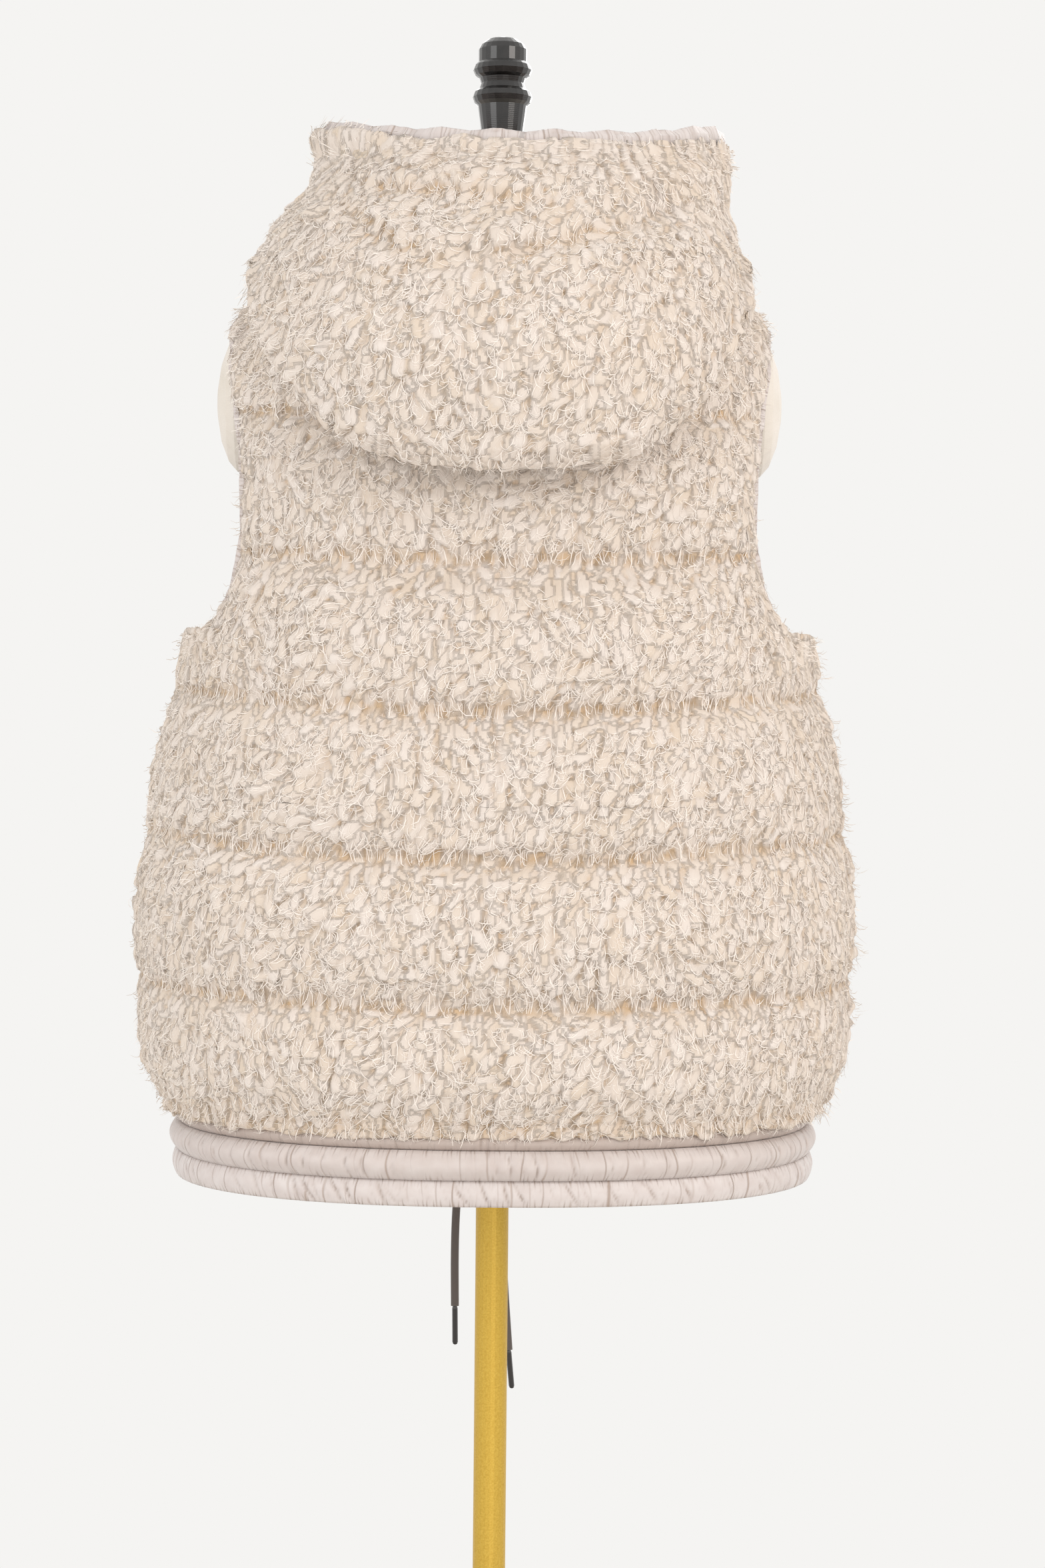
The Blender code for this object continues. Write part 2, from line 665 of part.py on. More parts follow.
def add_hood_edge(middle, normals):
    half = HOOD_EDGE_WALL / 2

    def row(rise, out, swing):
        made = []
        for i, (p, before, normal) in enumerate(zip(middle[-1], middle[-2], normals[-1])):
            wave = HOOD_EDGE_WAVE_DEPTH * swing * (1 if i % 2 else -1)
            up = normal.cross((p - before).cross(normal)).normalized()
            made.append(p + up * (HOOD_EDGE_LIFT + rise) + normal * (out + wave))
        return made

    top = HOOD_EDGE_HEIGHT
    outer = [row(0, half, 0), row(top * 0.5, half * 1.2, 0.5), row(top, half * 0.7, 1)]
    inner = [row(0, -half, 0), row(top, -half * 0.7, 1)]
    add_wall("hood_edge", outer, inner, "gathered_satin")


# Zip and drawcord

def zip_line():
    """Middle of the zip tape's outer face up the front, from the hem to the neck."""
    low_y = HEM_CASINGS[-1][5] - HEM_CASINGS[-1][6] / 2
    line = [Vector((0, low_y, ZIP_BOTTOM)), Vector((0, low_y, HEM_CASINGS[0][2]))]
    for i in range(25):
        station = 0.06 + (NECK_STATION - 0.06) * i / 24
        sink = vest_wall(station) - ZIP_TAPE_SINK
        line.append(vest_crown(station, pi / 2) - vest_normal(station, pi / 2) * sink)
    return line


def add_zip():
    line = zip_line()
    grids = []
    for sink in (0.0, ZIP_TAPE_WALL):
        grid = []
        for i, p in enumerate(line):
            along = (line[min(i + 1, len(line) - 1)] - line[max(i - 1, 0)]).normalized()
            out = Vector((1, 0, 0)).cross(along) * -1
            across = Vector((ZIP_HALF_WIDTH, 0, 0))
            grid.append([p - out * sink - across, p - out * sink + across])
        grids.append(grid)
    add_wall("zip_tape", *grids, "zip_tape")
    add_slider()


def add_box(bm, size, centre):
    made = bmesh.ops.create_cube(bm, size=1.0)["verts"]
    bmesh.ops.scale(bm, verts=made, vec=size)
    bmesh.ops.translate(bm, verts=made, vec=centre)
    return made


def join_with(target, name, size, centre, operation):
    """A helper box that a Boolean joins to, or cuts from, its target."""
    bm = bmesh.new()
    add_box(bm, size, centre)
    helper = new_object(name, bm, "zip_metal")
    helper.parent = target.parent
    helper.location = target.location
    helper.hide_render = True
    helper.display_type = "WIRE"
    modifier = target.modifiers.new(name, "BOOLEAN")
    modifier.operation = operation
    modifier.object = helper


def add_slider():
    """Zip slider with its bail, and the pull tab that hangs on the bail."""
    seat = vest_crown(ZIP_SLIDER_STATION, pi / 2)
    normal = vest_normal(ZIP_SLIDER_STATION, pi / 2)
    seat = seat - normal * (vest_wall(ZIP_SLIDER_STATION) - ZIP_TAPE_SINK)
    carrier = bpy.data.objects.new("zip_slider_seat", None)
    bpy.context.scene.collection.objects.link(carrier)
    carrier.location = seat
    carrier.rotation_euler = (asin(normal.z), 0, 0)
    lift = SLIDER_LIFT + SLIDER_SIZE[1] / 2

    bm = bmesh.new()
    add_box(bm, SLIDER_SIZE, (0, lift, 0))
    bmesh.ops.bevel(bm, geom=bm.edges, offset=0.0008, segments=1, profile=0.5, affect="EDGES", material=-1)
    slider = new_object("zip_slider", bm, "zip_metal")
    slider.parent = carrier
    bail_y = SLIDER_LIFT + SLIDER_SIZE[1] + BAIL_SIZE[1] / 2
    bail_size = (BAIL_SIZE[0], BAIL_SIZE[1] + 0.001, BAIL_SIZE[2])
    join_with(slider, "bail", bail_size, (0, bail_y - 0.0005, 0), "UNION")

    bm = bmesh.new()
    add_box(bm, PULL_SIZE, (0, 0, PULL_TOP - PULL_SIZE[2] / 2))
    lower = [e for e in bm.edges if max(v.co.z for v in e.verts) < -PULL_SIZE[2] / 2]
    lower = [e for e in lower if abs(e.verts[0].co.y - e.verts[1].co.y) > PULL_SIZE[1] / 2]
    bmesh.ops.bevel(bm, geom=lower, offset=0.0020, segments=3, profile=0.5, affect="EDGES", material=-1)
    pull = new_object("zip_pull", bm, "zip_metal")
    pull.parent = carrier
    pull.location = (0, SLIDER_LIFT + SLIDER_SIZE[1] + PULL_SIZE[1] / 2 + PULL_CLEARANCE, 0)
    notch_width, notch_depth = PULL_NOTCH
    notch_size = (notch_width, 0.01, notch_depth + 0.004)
    join_with(pull, "pull_notch", notch_size, (0, 0, 0.002 - notch_depth / 2), "DIFFERENCE")


def add_cord(side):
    """One free end of the drawcord, and the shrunk tip below it."""
    route = CORD_ROUTES[side]
    points = smooth_line(route, CORD_STEPS * (len(route) - 1) + 1)
    add_loft("drawcord_" + side, [flat_ring(p, CORD_WIDTH / 2) for p in points], "dark_cord")
    end = points[-1] - Vector((0, 0, SEAM_GAP))
    rings = []
    for share, width in ((0.0, 0.8), (0.06, 1.0), (0.5, 1.0), (0.93, 1.0), (0.98, 0.8), (1.0, 0.45)):
        middle = end + Vector((CORD_TIP_LEAN[side] * share, 0, -CORD_TIP_LENGTH * share))
        rings.append(flat_ring(middle, width * CORD_TIP_WIDTH / 2))
    add_loft("cord_tip_" + side, rings, "cord_tip")


def flat_ring(middle, radius):
    turns = [2 * pi * i / CORD_SIDES for i in range(CORD_SIDES)]
    return [middle + Vector((cos(t), sin(t), 0)) * radius for t in turns]


# Dress form and stand

def add_torso():
    """The form's body up to the top of its neck, with a flat face at each armhole."""
    rows = [(height, height, height, *section) for height, *section in TORSO_SECTIONS]
    for station, back, front in TORSO_SHOULDERS:
        ridge = vest_inner(station, 0.0) - vest_normal(station, 0.0) * SHOULDER_GAP
        back_z = min(ridge.z, vest_inner(station, -pi / 2).z)
        front_z = min(ridge.z, vest_inner(station, pi / 2).z)
        rows.append((back_z, ridge.z, front_z, ridge.x, back, front))
    rows += [(height, height, height, *section) for height, *section in NECK_SECTIONS]
    rings = []
    for back_z, side_z, front_z, half_width, back, front in rows:
        ring = []
        for i in range(TORSO_COLUMNS):
            angle = 2 * pi * i / TORSO_COLUMNS
            reach = ring_reach(angle, half_width, back, front)
            across = min(max(reach * cos(angle), -ARM_FACE), ARM_FACE)
            end_z = front_z if sin(angle) >= 0 else back_z
            ring.append((across, reach * sin(angle), side_z + (end_z - side_z) * sin(angle) ** 2))
        rings.append(ring)
    add_loft("form_torso", rings, "form_linen")


def add_arm_plates():
    for side, sign in (("right", 1), ("left", -1)):
        rings = []
        turn = [2 * pi * i / PLATE_COLUMNS for i in range(PLATE_COLUMNS)]
        rows = ((1.0, -PLATE_RIM / PLATE_DOME),) + PLATE_DOME_ROWS
        for share, rise in rows:
            across = ARM_FACE + SEAM_GAP + PLATE_RIM + PLATE_DOME * rise
            rings.append([
                (
                    sign * across,
                    PLATE_DEPTH_OFFSET + PLATE_HALF_DEPTH * share * cos(t),
                    PLATE_HEIGHT + PLATE_HALF_HEIGHT * share * sin(t),
                )
                for t in turn
            ])
        add_loft("arm_plate_" + side, rings, "form_linen")


def add_stand():
    add_turned("finial", FINIAL_PROFILE, FINIAL_TOP, FINIAL_BASE, "black_wood")
    pole_bottom = FOOT_PROFILE[-1][0] + SEAM_GAP
    pole_top = TORSO_SECTIONS[0][0] - SEAM_GAP
    add_turned("pole", ((pole_bottom, POLE_RADIUS), (pole_top, POLE_RADIUS)), None, 0.0, "gold_paint")
    add_turned("foot", FOOT_PROFILE, None, 0.0, "gold_paint")


def make_material(name, colour, roughness, metallic):
    material = bpy.data.materials.new(name)
    material.use_nodes = True
    shader = material.node_tree.nodes["Principled BSDF"]
    shader.inputs["Base Color"].default_value = (*colour, 1)
    shader.inputs["Roughness"].default_value = roughness
    shader.inputs["Metallic"].default_value = metallic
    return material


for old in list(bpy.data.objects):
    bpy.data.objects.remove(old)
MADE_MATERIALS = {name: make_material(name, *facts) for name, facts in MATERIALS.items()}

add_body()
add_armhole_edge("right", 1)
add_armhole_edge("left", -1)
add_hem()
add_hood()
add_zip()
for cord_side in CORD_ROUTES:
    add_cord(cord_side)
add_torso()
add_arm_plates()
add_stand()
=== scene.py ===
from math import atan, cos, pi, radians, sin

import bmesh
import bpy
import numpy as np
from mathutils import Matrix, Vector, noise
from mathutils.bvhtree import BVHTree
from mathutils.kdtree import KDTree


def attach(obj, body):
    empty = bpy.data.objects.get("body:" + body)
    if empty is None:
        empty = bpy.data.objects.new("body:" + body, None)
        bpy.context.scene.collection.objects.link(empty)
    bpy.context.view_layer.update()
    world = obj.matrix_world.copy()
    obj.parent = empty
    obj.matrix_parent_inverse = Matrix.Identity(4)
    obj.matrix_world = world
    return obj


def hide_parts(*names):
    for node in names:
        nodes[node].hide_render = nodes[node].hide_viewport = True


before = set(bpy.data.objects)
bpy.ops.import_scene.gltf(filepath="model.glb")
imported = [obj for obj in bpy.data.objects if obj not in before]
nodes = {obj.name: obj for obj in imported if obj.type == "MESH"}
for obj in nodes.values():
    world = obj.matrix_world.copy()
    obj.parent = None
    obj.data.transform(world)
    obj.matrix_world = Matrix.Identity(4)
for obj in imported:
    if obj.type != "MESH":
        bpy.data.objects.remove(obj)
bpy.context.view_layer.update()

vestBody = "vest_and_form"


# Small helpers

def linear(hexColour):
    parts = [int(hexColour[i:i + 2], 16) / 255 for i in (1, 3, 5)]
    return [c / 12.92 if c <= 0.04045 else ((c + 0.055) / 1.055) ** 2.4 for c in parts] + [1.0]


def addNode(tree, kind, links=(), values=(), **settings):
    node = tree.nodes.new(kind)
    for name, value in settings.items():
        setattr(node, name, value)
    for socket, value in dict(values).items():
        node.inputs[socket].default_value = value
    for socket, source in dict(links).items():
        tree.links.new(source, node.inputs[socket])
    return node


def newMaterial(name):
    material = bpy.data.materials.new(name)
    material.use_nodes = True
    material.node_tree.nodes.clear()
    return material, material.node_tree


def setRamp(node, stops):
    ramp = node.color_ramp
    while len(ramp.elements) > 1:
        ramp.elements.remove(ramp.elements[-1])
    for i, (position, colour) in enumerate(stops):
        element = ramp.elements[0] if i == 0 else ramp.elements.new(position)
        element.position = position
        element.color = linear(colour)
    return node


def finishMaterial(tree, shader):
    addNode(tree, "ShaderNodeOutputMaterial", {"Surface": shader.outputs[0]})


def placePiece(name, mesh, material, body=vestBody, replaced=()):
    piece = bpy.data.objects.new(name, mesh)
    bpy.context.scene.collection.objects.link(piece)
    for each in material if isinstance(material, list) else [material]:
        mesh.materials.append(each)
    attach(piece, body)
    if replaced:
        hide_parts(*replaced)
    return piece


def meshFrom(name, bm, smooth=True):
    mesh = bpy.data.meshes.new(name)
    bm.to_mesh(mesh)
    bm.free()
    mesh.polygons.foreach_set("use_smooth", [smooth] * len(mesh.polygons))
    return mesh


def nodeCopy(name):
    bm = bmesh.new()
    bm.from_mesh(nodes[name].data)
    bmesh.ops.remove_doubles(bm, verts=bm.verts, dist=0.00002)
    bm.normal_update()
    return bm


def paintNode(name, material):
    mesh = nodes[name].data
    mesh.materials.clear()
    mesh.materials.append(material)


# Camera, floor and light

view = {
    "image": (1568, 2352),
    "focalPixels": 4666.7,
    "distance": 2.1,
    "height": 1.011,
    "axisPixel": (744.4, 950.0),   # where the pole's line meets the horizon
    "roll": 0.0097,
}


def addCamera():
    data = bpy.data.cameras.new("camera")
    data.sensor_width = 36.0
    data.lens = view["focalPixels"] / view["image"][1] * data.sensor_width
    yaw = atan((view["image"][0] / 2 - view["axisPixel"][0]) / view["focalPixels"])
    pitch = atan((view["image"][1] / 2 - view["axisPixel"][1]) / view["focalPixels"])
    camera = bpy.data.objects.new("camera", data)
    turn = Matrix.Rotation(-yaw, 4, "Z") @ Matrix.Rotation(pi / 2 - pitch, 4, "X")
    turn = turn @ Matrix.Rotation(view["roll"], 4, "Z")
    camera.matrix_world = Matrix.Translation((0, -view["distance"], view["height"])) @ turn
    bpy.context.scene.collection.objects.link(camera)
    bpy.context.scene.camera = camera


studio = {
    "world": "#F5F4F2", "worldStrength": 1.0,
    "floor": "#CFCDCA", "floorRadius": 1.15,
    # name, place, size, power, colour
    "lamps": [
        ("key", (1.95, -1.70, 1.9), 1.6, 27.0, "#FFF8F2"),
        ("fill", (-1.85, -1.55, 1.5), 1.8, 17.0, "#FFFFFF"),
        ("low", (0.3, -2.0, 0.30), 1.2, 5.0, "#FFFAF4"),
        ("front", (0.6, 2.2, 2.2), 1.8, 22.0, "#FFFFFF"),
    ],
    "aim": (0.0, 0.0, 0.95),
}


def addStudio():
    world = bpy.data.worlds.new("white studio")
    bpy.context.scene.world = world
    world.use_nodes = True
    background = world.node_tree.nodes["Background"]
    background.inputs["Color"].default_value = linear(studio["world"])
    background.inputs["Strength"].default_value = studio["worldStrength"]
    for name, place, size, power, colour in studio["lamps"]:
        data = bpy.data.lights.new(name, "AREA")
        data.size = size
        data.energy = power
        data.color = linear(colour)[:3]
        lamp = bpy.data.objects.new(name, data)
        lamp.location = place
        aim = Vector(studio["aim"]) - Vector(place)
        lamp.rotation_euler = aim.to_track_quat("-Z", "Y").to_euler()
        bpy.context.scene.collection.objects.link(lamp)
    bm = bmesh.new()
    bmesh.ops.create_circle(bm, cap_ends=True, segments=96, radius=studio["floorRadius"])
    bmesh.ops.translate(bm, verts=bm.verts, vec=(0, 0, -0.0004))
    floor = bpy.data.objects.new("floor", meshFrom("floor", bm, smooth=False))
    bpy.context.scene.collection.objects.link(floor)
    material, tree = newMaterial("pale studio floor")
    finishMaterial(tree, addNode(tree, "ShaderNodeBsdfPrincipled", values={
        "Base Color": linear(studio["floor"]), "Roughness": 0.8}))
    floor.data.materials.append(material)
    bpy.context.scene.view_settings.view_transform = "Standard"


addCamera()
addStudio()
print("camera, floor and light are set")


# Drawcord: two free ends of a flat braided lace

lace = {
    "width": 0.0058, "sides": 16, "steps": 40,
    "thickness": 0.55,             # as a share of the width
    "picks": 0.0022,               # braid pitch along the lace
    "braidAngle": 38,              # degrees by which the threads cross the lace
    "colour": "#3E3836", "light": "#6B625E",
    "tip": "#2C2827",
    "rubbing": 900.0,              # rub marks on a tip in a metre: one in 1.1 mm
    "routes": {
        "left": [(-0.0240, 0.1350, 0.6470), (-0.0243, 0.1342, 0.6200), (-0.0262, 0.1346, 0.5900),
                 (-0.0268, 0.1350, 0.5600), (-0.0264, 0.1352, 0.5236)],
        "right": [(0.0060, 0.1350, 0.6470), (0.0061, 0.1342, 0.6150), (0.0070, 0.1345, 0.5800),
                  (0.0092, 0.1350, 0.5400), (0.0128, 0.1356, 0.4917)],
    },
}


def smoothRoute(points, count):
    points = [Vector(p) for p in points]
    ends = [2 * points[0] - points[1]] + points + [2 * points[-1] - points[-2]]
    made = []
    for i in range(count):
        at = i / (count - 1) * (len(points) - 1)
        k = min(int(at), len(points) - 2)
        t = at - k
        a, b, c, d = ends[k:k + 4]
        made.append(0.5 * (2 * b + (c - a) * t + (2 * a - 5 * b + 4 * c - d) * t**2
                           + (3 * b - a - 3 * c + d) * t**3))
    return made


def laceMaterial():
    # Polyester lace, braided flat: matt, with light threads crossing in a V
    material, tree = newMaterial("braided polyester lace")
    uv = addNode(tree, "ShaderNodeUVMap", uv_map="braid").outputs[0]
    wave = {"Scale": 1.0, "Distortion": 0.0, "Detail": 0.0}
    threads = []
    for angle in (lace["braidAngle"], -lace["braidAngle"]):
        turned = addNode(tree, "ShaderNodeMapping", {"Vector": uv}, {"Rotation": (0, 0, radians(angle))})
        thread = addNode(tree, "ShaderNodeTexWave", {"Vector": turned.outputs[0]}, wave)
        threads.append(thread.outputs["Fac"])
    height = addNode(tree, "ShaderNodeMath", {0: threads[0], 1: threads[1]}, operation="MAXIMUM")
    colour = setRamp(addNode(tree, "ShaderNodeValToRGB", {"Fac": height.outputs[0]}),
                     [(0.25, lace["colour"]), (1.0, lace["light"])])
    bump = addNode(tree, "ShaderNodeBump", {"Height": height.outputs[0]},
                   {"Strength": 0.5, "Distance": 0.0004})
    finishMaterial(tree, addNode(tree, "ShaderNodeBsdfPrincipled", {
        "Base Color": colour.outputs["Color"], "Normal": bump.outputs[0]},
        {"Roughness": 0.75, "Sheen Weight": 0.25}))
    return material


def addLace(side, material):
    route = smoothRoute(lace["routes"][side], lace["steps"])
    bm = bmesh.new()
    uvLayer = bm.loops.layers.uv.new("braid")
    bmesh.ops.create_circle(bm, cap_ends=True, segments=lace["sides"], radius=lace["width"] / 2)
    bmesh.ops.scale(bm, verts=bm.verts, vec=(1, lace["thickness"], 1))
    bmesh.ops.translate(bm, verts=bm.verts, vec=route[0])
    bmesh.ops.reverse_faces(bm, faces=bm.faces)
    ring = list(bm.edges)
    for before, after in zip(route, route[1:]):
        made = bmesh.ops.extrude_edge_only(bm, edges=ring)["geom"]
        ring = [e for e in made if isinstance(e, bmesh.types.BMEdge)]
        moved = [v for v in made if isinstance(v, bmesh.types.BMVert)]
        bmesh.ops.translate(bm, verts=moved, vec=after - before)
        ring = [e for e in ring if all(v in set(moved) for v in e.verts)]
    bmesh.ops.edgeloop_fill(bm, edges=ring)
    bmesh.ops.recalc_face_normals(bm, faces=bm.faces)
    # extruding gives the faces in no fixed order, so they are sorted to be the same each run
    bm.faces.sort(key=lambda face: face.calc_center_median().dot(Vector((0.01, 0.1, 1.0))))
    middle = route[len(route) // 2]
    for face in bm.faces:
        for loop in face.loops:
            p = loop.vert.co
            around = (p.x - middle.x) + 0.8 * abs(p.y - middle.y)
            loop[uvLayer].uv = (around / lace["picks"], p.z / lace["picks"])
    piece = placePiece("lace_" + side, meshFrom("lace_" + side, bm), material,
                       replaced=["drawcord_" + side])


def tipMaterial():
    # Shrunk plastic tube: dark and glossy, dulled by fine rubbing
    material, tree = newMaterial("shrunk plastic lace tip")
    place = addNode(tree, "ShaderNodeTexCoord").outputs["Object"]
    rub = addNode(tree, "ShaderNodeTexNoise", {"Vector": place},
                  {"Scale": lace["rubbing"], "Detail": 3.0})
    rough = addNode(tree, "ShaderNodeMapRange", {"Value": rub.outputs["Fac"]},
                    {"To Min": 0.22, "To Max": 0.42})
    finishMaterial(tree, addNode(tree, "ShaderNodeBsdfPrincipled", {"Roughness": rough.outputs[0]},
                                 {"Base Color": linear(lace["tip"])}))
    return material


laceLook, tipLook = laceMaterial(), tipMaterial()
for side in lace["routes"]:
    addLace(side, laceLook)
    paintNode("cord_tip_" + side, tipLook)
print("laces hang from the hem")


# Curly fleece: a body just under the pile, curls raised from an even mesh, and loose fibres

fleece = {
    "pile": 0.0075,                # depth of the body below the curl tips
    "hoodPile": 0.0060,
    "under": 0.0014,               # how far the padded body lies below the roots
    "floor": 0.0012,               # least height of the pile
    "sewnReach": 0.005,            # corners of the body this near to a sewn edge are less set back
    "meet": 0.0014,                # how far the pile of a sewn edge presses into its neighbour
    "covered": 0.009,              # pile this near below another panel is left out
    "closing": (0.022, 0.6),       # reach and share by which pile near a sewn edge isn't set back
    "gap": 0.0049,                 # least distance between the roots of two curls
    "length": (0.0100, 0.0160),
    "halfWidth": (0.0025, 0.0043),
    "size": (0.72, 1.15),          # least and largest curl, as a share of those
    "rise": (0.0009, 0.0028),      # how far a curl climbs from root to tip
    "thick": 0.27,                 # a curl's bulge, as a share of its half width
    "bend": 0.0060,
    "whorls": (14.0, 1.1),         # wide turns of the pile: how many in a metre, and their radians
    "swirls": (45.0, 0.9),         # small turns of the pile, in the same way
    "stray": (-0.25, 0.32),        # mean and spread of a single curl's own turn
    "clumps": (38.0, 0.0006),      # groups in a metre, and how far a whole group stands up or lies down
    "uneven": 0.0004,              # how far single curls stand up or lie down
    "lean": 0.45,                  # how far a curl hangs over the next, as a share of its height
    "strands": (3.0, 1.4),         # strands that the shader's bump draws across and along a curl
    # lift is the pile's paleness: paler toward the tips, and darkened by painted shade in hollows
    "lift": (0.57, 0.0034, 0.8),   # mean paleness, hollow that takes it all away, and its most
    "warmth": (0.25, 0.22),        # mean and spread of the curls' warm tint
    "fibreLength": (0.0055, 0.0120),
    "fibreWidth": (0.00028, 0.00060),
    "fibreLift": (0.00012, 0.0020),        # at a fibre's root and at its tip
    "fibreTurn": (0.5, 1.1),               # radians that fibres leave their curl by, and bow by
    "fibreTaper": (0.5, 1.0, 1.0, 0.4),    # share of the width from root to tip
    "fibrePale": (0.8, 0.95, 1.0, 1.0),    # paleness from root to tip
    "hang": (0.699, 0.009, -0.0026, 0.0022),   # height, reach, drop and swell of the curls over the hem
    "rim": (0.010, 0.0048, 0.0012),            # reach, rise and swell at the corners of the hood's rim
    "upright": 0.013,                          # curls this near to the rim stand up
    "corner": (-0.070, 0.02),                  # where the pile at the left corner ends, and how softly
    "rimClump": (-0.026, 0.010, 0.6),          # place, half width and height of a clump on the rim
    "rimTufts": (60.0, 0.6),                   # tufts in a metre of the rim, and their height
    # root is the tan of the roots and also the colour of painted shade in hollows, at seams, under folds
    # and above the hem
    "fibre": "#EDE5DD", "tip": "#DBD1C9", "body": "#D5C9BF", "root": "#C5A886", "warm": "#D1C0AD",
    "skin": "#D3C4B2", "sheen": "#FFF4E6", "lining": ("#C9BFBC", "#D8CFCB"),
    # folds of the hood, seen from behind: points across and up, bulge, reach
    "folds": [
        ([(-0.090, 1.294), (-0.056, 1.290), (-0.012, 1.286), (0.045, 1.277)], 0.0068, 0.0090),
        ([(-0.012, 1.243), (0.010, 1.248), (0.036, 1.255), (0.067, 1.266), (0.099, 1.280)],
         0.0068, 0.0090),
        ([(-0.104, 1.290), (-0.080, 1.266), (-0.057, 1.250), (-0.024, 1.238)], 0.0060, 0.0080),
    ],
    "foldStep": 0.0022,            # how softly the upper cloth goes over to the lower
    "foldShade": (0.32, 0.007),    # shade under a fold, and its reach
    "foldLine": (0.13, 0.0025),    # shade on a fold's own line, and its half width
    # height of each quilted seam at the back and front, and at the sides
    "seams": [(0.777, 0.781), (0.870, 0.880), (0.963, 0.975), (1.059, 1.065), (1.153, 1.155)],
    "stitch": (0.0022, 0.0015, 0.32),   # a seam's half width, depth and shade
    "seamShade": (0.12, 0.009),         # weaker shade below a seam, and its reach
    "hemShade": (0.25, 0.715, 0.02),    # shade above the hem, the height where it starts, and its reach
    "seamShort": (0.30, 0.008, 0.003),  # how much shorter curls are at a seam; reach below and above it
    "seed": 11,
}

# node, pile, height bands, side of the squares that the curls are raised from, fibres in a square metre
fleecePanels = [
    ("back_panel", "pile", 4, 0.0017, 60000),
    ("front_right", "pile", 2, 0.0030, 14000),
    ("front_left", "pile", 2, 0.0030, 14000),
    ("hood", "hoodPile", 2, 0.0018, 56000),
]


def fleeceMaterial():
    # Boucle pile of curled polyester: matt, pale at the tips, tan at the roots, and painted shade in the
    # hollows, at the seams, under the hood's folds and above the hem
    material, tree = newMaterial("curled polyester pile")
    depth = addNode(tree, "ShaderNodeAttribute", attribute_name="lift")
    tuft = addNode(tree, "ShaderNodeAttribute", attribute_name="tuft")
    colour = setRamp(addNode(tree, "ShaderNodeValToRGB", {"Fac": depth.outputs["Fac"]}),
                     [(0.0, fleece["root"]), (0.45, fleece["body"]),
                      (0.8, fleece["tip"]), (1.0, fleece["fibre"])])
    warm = addNode(tree, "ShaderNodeMix", {0: tuft.outputs["Fac"], 6: colour.outputs["Color"]},
                   {7: linear(fleece["warm"])}, data_type="RGBA", blend_type="MIX")
    uv = addNode(tree, "ShaderNodeUVMap", uv_map="strand")
    strands = addNode(tree, "ShaderNodeTexNoise", {"Vector": uv.outputs[0]},
                      {"Scale": 1.0, "Detail": 2.0})
    bump = addNode(tree, "ShaderNodeBump", {"Height": strands.outputs["Fac"]},
                   {"Strength": 0.8, "Distance": 0.0007})
    finishMaterial(tree, addNode(tree, "ShaderNodeBsdfPrincipled", {
        "Base Color": warm.outputs[2], "Normal": bump.outputs[0]},
        {"Roughness": 0.95, "Specular IOR Level": 0.15, "Sheen Weight": 0.30, "Sheen Roughness": 0.5,
         "Sheen Tint": linear(fleece["sheen"])}))
    return material


def skinMaterial():
    # Knitted backing full of pile roots: warm tan, woolly, seen only between the locks
    material, tree = newMaterial("fleece backing")
    place = addNode(tree, "ShaderNodeTexCoord").outputs["Object"]
    curls = addNode(tree, "ShaderNodeTexVoronoi", {"Vector": place}, {"Scale": 260.0})   # 4 mm curls
    fluff = addNode(tree, "ShaderNodeTexNoise", {"Vector": place},
                    {"Scale": 700.0, "Detail": 4.0})   # 1.4 mm fluff
    colour = setRamp(addNode(tree, "ShaderNodeValToRGB", {"Fac": fluff.outputs["Fac"]}),
                     [(0.3, fleece["warm"]), (0.7, fleece["skin"])])
    bump = addNode(tree, "ShaderNodeBump", {"Height": curls.outputs["Distance"]},
                   {"Strength": 0.7, "Distance": 0.003})
    finishMaterial(tree, addNode(tree, "ShaderNodeBsdfPrincipled", {
        "Base Color": colour.outputs["Color"], "Normal": bump.outputs[0]},
        {"Roughness": 1.0, "Specular IOR Level": 0.1, "Sheen Weight": 0.2}))
    return material


def liningMaterial():
    # Polyester lining: smooth plain weave with a low sheen
    material, tree = newMaterial("polyester lining")
    # its weave is too fine to show, so the noise draws soft 17 mm ripples
    place = addNode(tree, "ShaderNodeTexCoord").outputs["Object"]
    soft = addNode(tree, "ShaderNodeTexNoise", {"Vector": place}, {"Scale": 60.0, "Detail": 4.0})
    colour = setRamp(addNode(tree, "ShaderNodeValToRGB", {"Fac": soft.outputs["Fac"]}),
                     [(0.3, fleece["lining"][0]), (0.7, fleece["lining"][1])])
    bump = addNode(tree, "ShaderNodeBump", {"Height": soft.outputs["Fac"]},
                   {"Strength": 0.3, "Distance": 0.002})
    finishMaterial(tree, addNode(tree, "ShaderNodeBsdfPrincipled", {
        "Base Color": colour.outputs["Color"], "Normal": bump.outputs[0]},
        {"Roughness": 0.5, "Sheen Weight": 0.3}))
    return material


def hoodOuter():
    # the hood's fleece side: the faces that are reached from its back without crossing a sharp edge
    bm = nodeCopy("hood")
    first = min(bm.faces, key=lambda face: face.calc_center_median().y)
    reached, waiting = {first}, [first]
    while waiting:
        face = waiting.pop()
        for other in [f for e in face.edges for f in e.link_faces if f not in reached]:
            if face.normal.angle(other.normal, pi) < radians(60):
                reached.add(other)
                waiting.append(other)
    bmesh.ops.delete(bm, geom=[face for face in bm.faces if face not in reached], context="FACES")
    return BVHTree.FromBMesh(bm)


def facesOut(bm, outer):
    # 1 on the fleece side of a vertex, 0 on sewn edges, -1 on the lining side
    sides = np.zeros(len(bm.verts))
    for i, v in enumerate(bm.verts):
        if outer:
            _, normal, _, far = outer.find_nearest(v.co)
            same = normal.dot(v.normal)
            sides[i] = float(same > 0.5) if far < 0.0025 else -1.0
        else:
            out = Vector((v.co.x, v.co.y, 0)).normalized().dot(v.normal)
            sides[i] = -1.0 if out < -0.35 else min(max((out - 0.05) / 0.3, 0.0), 1.0)
    return sides


